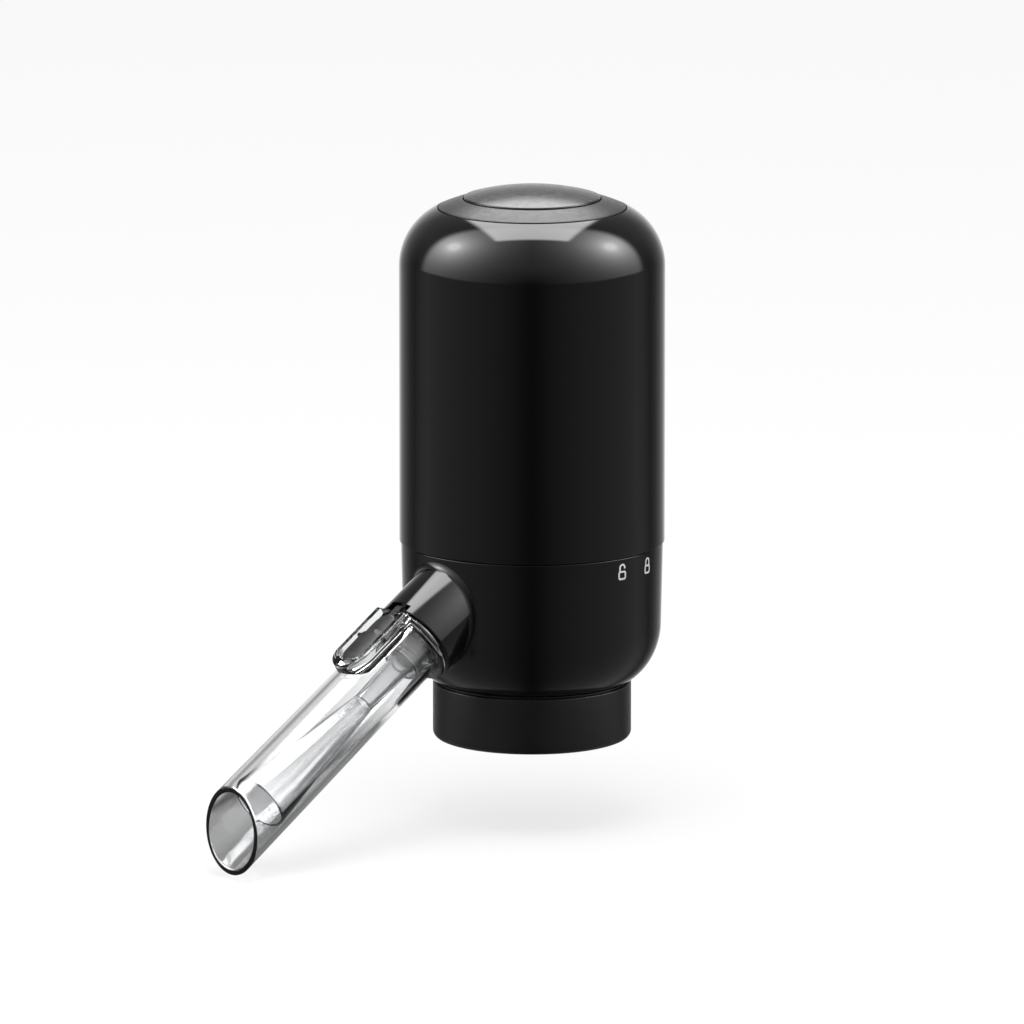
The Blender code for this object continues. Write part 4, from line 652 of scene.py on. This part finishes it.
def make_seal():
    """The rubber cup that grips the bottle's neck, with two soft ribs in its bore."""
    ribs = [(15.2, 2.15), (14.8, 2.55, 0.15), (15.2, 2.95), (15.2, 4.3), (14.8, 4.7, 0.15), (15.2, 5.1)]
    points = outline((19.1, 9.9, 0.3), (19.1, 1.0, 0.4), (15.6, 1.0, 0.4), *ribs, (15.2, 7.1, 0.4),
                     (3.5, 7.1, 0.2), (3.5, 9.9, 0.2))
    return dress(piece("neck_seal", lathe(points)), "base", "rubber", "bottle_seal")


def make_nipples():
    """The wine inlet, the air outlet beside it and the little valve round the air outlet."""
    points = outline((3.2, 19.0, 0.3), (3.2, 13.7, 0.2), (5.2, 13.7, 0.2), (5.2, 10.2, 0.2), (3.2, 10.2, 0.2),
                     (3.2, 2.4, 0.5), (1.9, 2.4, 0.3), (1.9, 19.0, 0.2))
    dress(piece("wine_nipple", lathe(points, ROUND_SMALL)), "base", "grey_plastic", "inlet_nipple")
    place = Matrix.Translation((-1.5 * MM, 6.9 * MM, 0.0))
    points = outline((1.5, 18.0, 0.15), (1.5, 4.6, 0.25), (0.8, 4.6, 0.15), (0.8, 18.0, 0.1))
    dress(piece("air_stub", lathe(points, ROUND_SMALL, place)), "base", "grey_plastic", "air_nipple")
    points = outline((2.5, 6.8, 0.2), (2.5, 4.4, 0.3), (1.8, 4.4, 0.15), (1.8, 6.8, 0.1))
    dress(piece("air_valve", lathe(points, ROUND_SMALL, place)), "base", "rubber", "air_check_valve")


# ---------------------------------------------------------------- nozzle, spout, latch

def capsule(half_width, start, end, rows, square=False):
    """A solid on a long outline with one round end, or with two, built from rows of offset outlines.

    The outline runs round the tube's upper side in (across, along). A row is (share, height): its points
    lie between the outline's middle line and the outline by the share, at the height, where height may be
    a function of across and along. The first and last rows have share 0 and close the solid.
    """
    count = 40
    turn = np.linspace(0.0, math.pi, count)
    far = end - half_width
    tip = np.stack([half_width * np.cos(turn), far + half_width * np.sin(turn)], axis=1)
    near = start + half_width
    if square:
        side = np.linspace(-half_width, half_width, 9)
        root = np.stack([side, np.full(9, float(start))], axis=1)
    else:
        root = np.stack([-half_width * np.cos(turn), near - half_width * np.sin(turn)], axis=1)
    left = np.linspace(far, start if square else near, 30)[1:-1]
    right = left[::-1]
    loop = np.vstack([tip, np.stack([np.full(28, -half_width), left], axis=1), root,
                      np.stack([np.full(28, half_width), right], axis=1)])
    spine = np.stack([np.zeros(len(loop)), np.clip(loop[:, 1], near, far)], axis=1)
    layers = []
    for share, height in rows:
        spot = spine + (loop - spine) * share
        level = height(spot[:, 0], spot[:, 1]) if callable(height) else np.full(len(loop), float(height))
        layers.append(np.stack([spot[:, 0], level, spot[:, 1]], axis=1))
    return np.stack(layers, axis=1), True, False, SLANT


def rounded_top(half_width, top, rounding, count=7):
    """Rows that round off a capsule's upper edge: an arc in share and height."""
    angle = np.linspace(0.0, math.pi / 2, count)
    share = 1 - rounding * (1 - np.cos(angle)) / half_width
    return [(float(one), top - rounding * (1 - float(math.sin(two)))) for one, two in zip(share, angle)]


def make_nozzle():
    """The black root of the spout: a short cylinder with a rounded rim, a face and a notch on top."""
    points = outline((0.0, 42.3), (8.3, 42.3), (8.3, 28.3, 0.2), (10.3, 28.3, 0.2), (10.3, NOZZLE_END, 0.35),
                     (0.0, NOZZLE_END))
    nozzle = piece("nozzle_shell", lathe(points, ROUND, SLANT))
    mouth = outline((0.0, 41.0), (3.6, 41.0), (3.6, 46.0), (0.0, 46.0))
    combine(nozzle, piece("mouth", lathe(mouth, ROUND_SMALL, OUTLET)), "DIFFERENCE")
    side = np.array([[-3.1, 8.6], [3.1, 8.6], [3.1, 12.0], [-3.1, 12.0]])
    layers = [np.stack([side[:, 0] * share, 10.3 + (side[:, 1] - 10.3) * share, np.full(4, along)], axis=1)
              for share, along in ((0.0, 42.78), (1.0, 42.78), (1.0, 46.0), (0.0, 46.0))]
    notch = piece("notch", (np.stack(layers, axis=1), True, False, SLANT))
    combine(nozzle, notch, "DIFFERENCE")
    return dress(nozzle, "base", "gloss_black", "nozzle")


def make_core():
    """The inner core: its shoulder in the nozzle, the outlet with a groove, the tail and the barb."""
    shoulder = outline((1.8, 41.98), (7.8, 41.98, 0.2), (7.8, 38.98, 0.2), (1.8, 38.98))
    outlet = outline((1.8, 50.08, 0.15), (3.3, 50.08, 0.3), (3.3, 49.03), (2.8, 49.03), (2.8, 47.93),
                     (3.3, 47.93), (3.3, 40.0), (1.8, 40.0))
    tail = outline((1.8, 39.5), (2.8, 39.5), (2.8, 18.2, 0.3), (0.0, 18.2), (0.0, 20.2), (1.8, 20.2))
    sine, cosine = math.sin(SPOUT_DIP), math.cos(SPOUT_DIP)
    low = AXIS_HEIGHT - (16.5 + OUTLET_OFFSET * sine) / cosine * sine - OUTLET_OFFSET * cosine
    barb = outline((1.1, low), (2.0, low), (2.0, low - 5.6), (2.3, low - 5.7, 0.1), (1.7, low - 6.5, 0.1),
                   (1.1, low - 6.5))
    sheets = [lathe(shoulder, ROUND_SMALL, OUTLET @ Matrix.Translation((0.0, OUTLET_OFFSET * MM, 0.0))),
              lathe(outlet, ROUND_SMALL, OUTLET), lathe(tail, ROUND_SMALL, OUTLET),
              lathe(barb, ROUND_SMALL, Matrix.Translation((0.0, -16.5 * MM, 0.0)))]
    dress(piece("outlet_core", *sheets), "base", "satin_black", "nozzle_core")
    ring = bend(3.5, 48.48, 0.4, 0.4, 0.0, 360.0, 25)[:-1]
    dress(piece("outlet_ring", lathe(ring, ROUND_SMALL, OUTLET)), "base", "rubber", "spout_o_ring")


def tube_radius(along):
    """Outer radius of the spout's tube: a straight taper outward to the tip."""
    return 8.15 + (8.85 - 8.15) * (along - SPOUT_START) / (119.16 - SPOUT_START)


def cut_along(radius, angle, reach):
    """Distance along the axis at which a wall line meets the upright plane of the tip."""
    return (reach - math.sin(SPOUT_DIP) * radius * np.sin(angle)) / math.cos(SPOUT_DIP)


def tube_wall():
    """The spout's wall: lines along the axis, each ending at the tip's upright plane.

    At each angle the outline runs out along the outer wall, whose lines end at their own distance, over
    the rounded lip and back along the inner wall to the flange.
    """
    angle = np.linspace(0.0, 2 * math.pi, ROUND, endpoint=False)
    share = np.linspace(0.0, 1.0, 60)
    columns = []

    def wall(offset, back, first):
        """Lines of the wall, moved inward by an offset and stopped short of the plane by a distance."""
        end = cut_along(8.7 - offset, angle, SPOUT_REACH - back)
        along = first + (end[:, None] - first) * share[None, :]
        radius = tube_radius(along) - offset
        return np.stack([radius * np.cos(angle)[:, None], radius * np.sin(angle)[:, None], along], axis=-1)

    def ring(radius, along):
        """One ring of the flange."""
        spot = [radius * np.cos(angle), radius * np.sin(angle), np.full(ROUND, float(along))]
        return np.stack(spot, axis=-1)[:, None]

    rim = 0.28
    columns.append(ring(8.5, 46.48))
    columns.append(wall(0.0, rim, 46.78))
    for step in np.linspace(0.2, 1.0, 5):
        offset = rim * (1 - math.cos(step * math.pi / 2))
        back = rim * (1 - math.sin(step * math.pi / 2))
        columns.append(wall(offset, back, 46.78)[:, -1:])
    for step in np.linspace(1.0, 0.2, 5):
        offset = 1.2 - rim * (1 - math.cos(step * math.pi / 2))
        back = rim * (1 - math.sin(step * math.pi / 2))
        columns.append(wall(offset, back, 46.78)[:, -1:])
    columns.append(wall(1.2, rim, SPOUT_START + 0.2)[:, ::-1])
    for radius, along in ((7.15, SPOUT_START), (9.7, SPOUT_START), (9.9, SPOUT_START + 0.1),
                          (10.0, SPOUT_START + 0.3), (10.0, 46.13), (9.9, 46.38), (9.65, 46.48)):
        columns.append(ring(radius, along))
    return np.concatenate(columns, axis=1), True, True, SLANT


def make_spout():
    """The clear spout: tube and flange, the raised frame with its pocket, and two keys at the root."""
    spout = piece("spout_shell", tube_wall())
    half = 5.2
    top = 10.9

    def under(across, along):
        return np.sqrt(7.55 ** 2 - across ** 2)

    rows = [(0.0, under), (0.5, under), (1.0, under)] + rounded_top(half, top, 0.7)
    rows += [(0.5, top), (0.0, top)]
    combine(spout, piece("frame", capsule(half, 45.78, 65.98, rows, square=True)), "UNION")
    pocket_rows = [(0.0, 8.6), (1.0, 8.6), (1.0, 12.0), (0.0, 12.0)]
    combine(spout, piece("pocket", capsule(3.5, 46.08, 63.98, pocket_rows, square=True)), "DIFFERENCE")
    slit = [(0.0, 8.9), (1.0, 8.9), (1.0, 12.0), (0.0, 12.0)]
    combine(spout, piece("slit", capsule(1.3, 42.0, 48.0, slit, square=True)), "DIFFERENCE")
    return dress(spout, "spout", "clear_plastic", "spout_tube")


def make_latch():
    """The black key in the frame: two low halves that meet at a step with a shallow V across."""
    half = 3.2
    start, end = 46.68, 63.38

    def crown(across, along):
        ridge = np.clip((along - (53.6 - 0.35 * (half - np.abs(across)))) / 0.35, 0.0, 1.0)
        step = ridge * ridge * (3 - 2 * ridge)
        return 10.2 + 0.42 * step - 0.035 * across ** 2 - 0.0015 * (along - 55.0) ** 2

    def lowered(rounding, drop):
        return lambda across, along: crown(across, along) - drop * rounding

    angle = np.linspace(0.0, math.pi / 2, 6)
    rows = [(0.0, 9.3), (0.6, 9.3), (0.97, 9.3), (1.0, 9.4)]
    rows += [(1 - 0.45 * (1 - math.cos(one)) / half, lowered(0.45, 1 - math.sin(one))) for one in angle]
    rows += [(share, crown) for share in np.linspace(0.80, 0.0, 9)]
    arm = [(0.0, 9.3), (1.0, 9.3), (1.0, 9.9), (0.0, 9.9)]
    side = SLANT @ Matrix.Translation((0.0, 9.75 * MM, 54.58 * MM)) @ Matrix.Rotation(math.pi / 2, 4, "Y")
    pins = outline((0.0, -4.4), (0.55, -4.4, 0.12), (0.55, 4.4, 0.12), (0.0, 4.4))
    latch = piece("latch_key", capsule(half, start, end, rows), capsule(1.0, 43.5, 47.8, arm, square=True),
                  lathe(pins, 24, side))
    return dress(latch, "latch", "satin_black", "latch_rocker")


def make_inner_tubes():
    """The aerating tube with its cup, and the funnel that widens to the mouth."""
    points = outline((2.5, 65.38, 0.2), (2.9, 47.6 + 3.68), (4.8, 51.28, 0.3), (4.8, 46.68, 0.2),
                     (4.2, 46.68, 0.15), (4.2, 50.38), (2.0, 50.38, 0.2), (1.6, 65.38, 0.15))
    dress(piece("aerator", lathe(points, ROUND_SMALL, OUTLET)), "spout", "frosted_plastic", "aerator_tube")
    tilt = Matrix.Translation((0.0, 0.0, 65.68 * MM)) @ Matrix.Rotation(-math.radians(2.6), 4, "X")
    points = outline((7.03, 37.0, 0.2), (2.7, 0.0, 0.15), (2.0, 0.0, 0.15), (6.33, 37.0, 0.2))
    dress(piece("funnel", lathe(points, ROUND, OUTLET @ tilt)), "spout", "clear_plastic", "pour_funnel")


# ---------------------------------------------------------------- lock marks

def on_casing(width, height, azimuth, centre_z, lift):
    """Flat points (width, height) wrapped on the casing at an azimuth measured from -Y toward +X."""
    radius = casing_radius(centre_z + height) + lift
    turn = azimuth + width / LOWER_RADIUS
    return np.stack([radius * np.sin(turn), -radius * np.cos(turn), centre_z + height], axis=-1)


def band(path, half_width, azimuth, centre_z):
    """A thin printed band along a flat path: each point plus and minus its normal by half a width."""
    along = np.gradient(path, axis=0)
    along /= np.linalg.norm(along, axis=1, keepdims=True)
    normal = np.stack([-along[:, 1], along[:, 0]], axis=1)
    left, right = path + normal * half_width, path - normal * half_width
    rows = [on_casing(side[:, 0], side[:, 1], azimuth, centre_z, lift)
            for side, lift in ((left, -0.05), (left, 0.03), (right, 0.03), (right, -0.05))]
    grid = np.stack(rows, axis=1)
    ends = [np.broadcast_to(grid[at].mean(axis=0), (1, 4, 3)) for at in (0, -1)]
    return np.concatenate([ends[0], grid, ends[1]]), False, True, UPRIGHT


def lock_mark(name, azimuth, centre_z, lifted):
    """A small padlock: a printed body and a bow that is shut, or lifted out at one side."""
    azimuth = math.radians(azimuth)
    box = outline((1.0, -1.6, 0.4), (1.0, 0.1, 0.4), (-1.0, 0.1, 0.4), (-1.0, -1.6, 0.4))
    start = np.array([[0.0, -1.6]])
    body = np.vstack([start, box, start])
    turn = np.linspace(math.pi, 0.0, 25)
    bow = np.stack([0.75 * np.cos(turn), 1.05 + 0.75 * np.sin(turn)], axis=1)
    left = np.array([[-0.75, 0.1], [-0.75, 0.55]])
    right = np.array([[0.75, 0.55], [0.75, 0.1]]) if not lifted else np.array([[0.75, 0.85], [0.75, 0.80]])
    path = np.vstack([left, bow, right])
    mark = piece(name, band(body, 0.21, azimuth, centre_z), band(path, 0.22, azimuth, centre_z), angle=60.0)
    return dress(mark, "base", "gloss_black", look=PRINT)


# ---------------------------------------------------------------- studio

def camera_axes():
    """The directions to the camera's right, up its image, and back toward it."""
    toward = Vector((math.sin(CAMERA_AZIMUTH) * math.cos(CAMERA_ELEVATION),
                     -math.cos(CAMERA_AZIMUTH) * math.cos(CAMERA_ELEVATION),
                     math.sin(CAMERA_ELEVATION)))
    right = Vector((math.cos(CAMERA_AZIMUTH), math.sin(CAMERA_AZIMUTH), 0.0))
    return right, toward.cross(right), toward


def place_camera():
    """A long lens whose scale at the body's axis is the photograph's, aimed so that the axis falls there."""
    right, up, toward = camera_axes()
    half = IMAGE_WIDTH / 2
    aim = (right * (half - ORIGIN_PIXEL[0]) + up * (ORIGIN_PIXEL[1] - half)) / PIXELS_PER_MM * MM
    data = bpy.data.cameras.new("camera")
    data.sensor_width = 36.0
    data.lens = 36.0 * CAMERA_DISTANCE / (IMAGE_WIDTH / PIXELS_PER_MM * MM)
    data.clip_start = 0.1
    data.clip_end = 50.0
    camera = bpy.data.objects.new("camera", data)
    turn = Matrix((right, up, toward)).transposed().to_4x4()
    camera.matrix_world = Matrix.Translation(aim + toward * CAMERA_DISTANCE) @ turn
    bpy.context.scene.collection.objects.link(camera)
    bpy.context.scene.camera = camera


def level_axes():
    """The camera's right and its level direction toward the object, for placing lights."""
    right = Vector((math.cos(CAMERA_AZIMUTH), math.sin(CAMERA_AZIMUTH), 0.0))
    toward = Vector((math.sin(CAMERA_AZIMUTH), -math.cos(CAMERA_AZIMUTH), 0.0))
    return right, toward, Vector((0.0, 0.0, 1.0))


# Painted reflection: grey levels by the angle from the camera's level direction, seen only by glossy rays
PAINTED_REFLECTION_LEVELS = ((8.0, 0.03), (15.0, 0.075), (26.0, 0.13), (44.0, 0.20), (64.0, 0.25), (85.0, 0.30),
                 (101.0, 0.33), (109.0, 0.25), (121.0, 0.10), (130.0, 0.14), (138.0, 0.24), (146.0, 0.35),
                 (154.0, 0.50), (161.0, 0.80), (171.0, 1.0))
# Painted side highlights, seen only by glossy rays: their direction, strength and fall
PAINTED_SIDE_HIGHLIGHT = (0.78, -0.04, 0.63)
PAINTED_HIGHLIGHT_STRENGTH = 12.0
PAINTED_HIGHLIGHT_FALL = 0.028


def grey(level):
    """A grey colour with full alpha."""
    return level, level, level, 1.0


def dot(tree, vector, axis):
    """The part of a vector along an axis."""
    return node(tree, "VectorMath", {0: vector, 1: axis}, operation="DOT_PRODUCT").outputs["Value"]


def painted_reflection_level(tree, vector):
    """Grey levels of a painted reflection that glossy surfaces mirror: dark at the camera, light behind the
    object.

    The angle between a level direction and the direction to the camera, as a share of half a turn, goes
    through a ramp of levels.
    """
    flat = node(tree, "VectorMath", {0: vector, 1: (1.0, 1.0, 0.0)}, operation="MULTIPLY")
    unit = node(tree, "VectorMath", {0: flat.outputs["Vector"]}, operation="NORMALIZE")
    facing = dot(tree, unit.outputs["Vector"], level_axes()[1])
    turn = node(tree, "Math", {0: facing}, operation="ARCCOSINE")
    share = node(tree, "Math", {0: turn.outputs["Value"], 1: math.pi}, operation="DIVIDE")
    ramp = node(tree, "ValToRGB", {"Fac": share.outputs["Value"]})
    elements = ramp.color_ramp.elements
    elements[0].position, elements[1].position = 0.0, 1.0
    elements[0].color, elements[1].color = grey(0.0), grey(1.0)
    for angle, level in PAINTED_REFLECTION_LEVELS:
        elements.new(angle / 180.0).color = grey(level)
    return ramp.outputs["Color"]


def blend(tree, share, first, second):
    """A mix of two shaders by a share."""
    return node(tree, "MixShader", {0: share, 1: first, 2: second}).outputs["Shader"]


def make_floor():
    """A plain pale floor under the spout's lowest point: near white to the camera, shadow kept, and a painted
    reflection to glossy rays.
    """
    look, shader = finish("floor_paper", (0.93, 0.93, 0.93), 0.9, specular=0.0)
    tint(look, shader, noise(look, 3.0, 2.0), (0.925, 0.925, 0.925), (0.935, 0.935, 0.935))
    tree = look.node_tree
    path = node(tree, "LightPath", {})
    white = node(tree, "Emission", {"Strength": 1.0})
    share = node(tree, "Math", {0: path.outputs["Is Camera Ray"], 1: FLOOR_WHITE}, operation="MULTIPLY")
    seen = blend(tree, share.outputs["Value"], shader.outputs["BSDF"], white.outputs["Emission"])
    # Painted reflection: glossy rays see the floor as a grey ramp, dark toward the camera
    painted_floor_reflection = node(tree, "Emission", {"Color": painted_reflection_level(tree, place_of(look))})
    whole = blend(tree, path.outputs["Is Glossy Ray"], seen, painted_floor_reflection.outputs["Emission"])
    tree.links.new(whole, tree.nodes["Material Output"].inputs["Surface"])
    side = np.linspace(-FLOOR_HALF, FLOOR_HALF, 9)
    first, second = np.meshgrid(side, side, indexing="ij")
    grid = np.stack([first, second, np.full_like(first, FLOOR_LEVEL)], axis=-1)
    floor = piece("floor", (grid, False, False, UPRIGHT))
    floor.data.materials.append(look)


def sum_up(tree, operation, *terms):
    """A chain of one arithmetic step over sockets and numbers."""
    total = terms[0]
    for term in terms[1:]:
        total = node(tree, "Math", {0: total, 1: term}, operation=operation).outputs["Value"]
    return total


def ease(tree, source, start, stop, low, high):
    """A value carried smoothly from low to high while its source goes from start to stop."""
    spread = node(tree, "MapRange", {"Value": source, "From Min": start, "From Max": stop, "To Min": low,
                                     "To Max": high}, interpolation_type="SMOOTHSTEP")
    return spread.outputs["Result"]


def painted_highlight_panels(tree, vector):
    """Painted highlights that only glossy surfaces see: an overhead panel and a soft spot at each side.

    With the direction's parts to the right, toward the camera and up, the panel fills a rectangle of
    right / up and toward / up. The side highlight is its strength times its fall to the power of the angle
    from its own direction, and it ends toward the rear.
    """
    right, toward, up = [dot(tree, vector, axis) for axis in level_axes()]
    side = node(tree, "Math", {0: right}, operation="ABSOLUTE").outputs["Value"]
    above = sum_up(tree, "MAXIMUM", up, 0.02)
    wide = sum_up(tree, "DIVIDE", side, above)
    deep = sum_up(tree, "DIVIDE", toward, above)
    # Painted highlight of the overhead panel
    panel = sum_up(tree, "MULTIPLY", ease(tree, wide, 0.36, 0.44, 1.0, 0.0),
                   ease(tree, deep, 0.10, 0.20, 1.0, 0.0), ease(tree, deep, -1.60, -1.45, 0.0, 1.0),
                   ease(tree, deep, -1.0, 0.1, 5.5, 8.2))
    # Painted highlight at each side
    parts = [sum_up(tree, "MULTIPLY", part, share) for part, share in zip((side, toward, up), PAINTED_SIDE_HIGHLIGHT)]
    near = sum_up(tree, "MINIMUM", sum_up(tree, "ADD", *parts), 1.0)
    angle = node(tree, "Math", {0: near}, operation="ARCCOSINE")
    fall = sum_up(tree, "POWER", PAINTED_HIGHLIGHT_FALL, angle.outputs["Value"])
    spot = sum_up(tree, "MULTIPLY", fall, PAINTED_HIGHLIGHT_STRENGTH, ease(tree, toward, -0.42, -0.26, 0.0, 1.0))
    return sum_up(tree, "ADD", panel, spot)


def make_world():
    """White to the camera, plain to matt surfaces, bright to clear ones, and to glossy ones a painted
    reflection with painted highlights.
    """
    world = bpy.data.worlds.new("studio")
    world.use_nodes = True
    bpy.context.scene.world = world
    tree = world.node_tree
    tree.nodes.clear()
    path = node(tree, "LightPath", {})
    way = node(tree, "TexCoord", {}).outputs["Generated"]
    height = node(tree, "SeparateXYZ", {"Vector": way}).outputs["Z"]
    ramp = node(tree, "ValToRGB", {"Fac": height})
    elements = ramp.color_ramp.elements
    elements[1].position = 0.62
    elements[0].color, elements[1].color = grey(1.0), grey(0.30)
    elements.new(0.28).color = grey(0.95)

    def background(colour, strength):
        return node(tree, "Background", {"Color": colour, "Strength": strength}).outputs["Background"]

    first = blend(tree, path.outputs["Is Transmission Ray"], background(grey(1.0), 0.75),
                  background(ramp.outputs["Color"], 1.0))
    # Painted reflection for glossy rays: the grey ramp by direction fading to grey upward, plus the painted
    # highlights
    rise = node(tree, "MapRange", {"Value": height, "From Min": 0.02, "From Max": 0.45})
    fade = node(tree, "Mix", {0: rise.outputs["Result"], 6: painted_reflection_level(tree, way), 7: grey(0.25)},
                data_type="RGBA")
    painted_world_reflection = background(fade.outputs[2], 1.0)
    painted_highlights = background(grey(1.0), painted_highlight_panels(tree, way))
    both = node(tree, "AddShader", {0: painted_world_reflection, 1: painted_highlights})
    second = blend(tree, path.outputs["Is Glossy Ray"], first, both.outputs["Shader"])
    last = blend(tree, path.outputs["Is Camera Ray"], second, background(grey(1.0), 1.0))
    node(tree, "OutputWorld", {"Surface": last})


def make_lamp():
    """One overhead panel for the plain light; the glossy surfaces mirror the world's painted highlights
    instead.
    """
    right, toward, up = level_axes()
    way = (toward * 0.25 + up * 0.97).normalized()
    data = bpy.data.lights.new("panel_top", "AREA")
    data.shape = "RECTANGLE"
    data.size, data.size_y = 0.55, 0.65
    data.energy = 8.0
    lamp = bpy.data.objects.new("panel_top", data)
    lamp.location = Vector((0.0, 0.0, 120.0 * MM)) + way * 1.1
    lamp.rotation_euler = (-way).to_track_quat("-Z", "Y").to_euler()
    lamp.visible_transmission = False
    lamp.visible_glossy = False
    bpy.context.scene.collection.objects.link(lamp)


redress_nodes()
make_upper_shell()
make_top_ring()
make_push_button()
make_lower_shell()
make_collar()
make_seal()
make_nipples()
make_nozzle()
make_core()
make_spout()
make_latch()
make_inner_tubes()
lock_mark("mark_open", 90.0, 43.4, True)
lock_mark("mark_closed", 108.0, 43.4, False)
make_floor()
make_world()
make_lamp()
place_camera()

bpy.context.scene.view_settings.view_transform = "Standard"
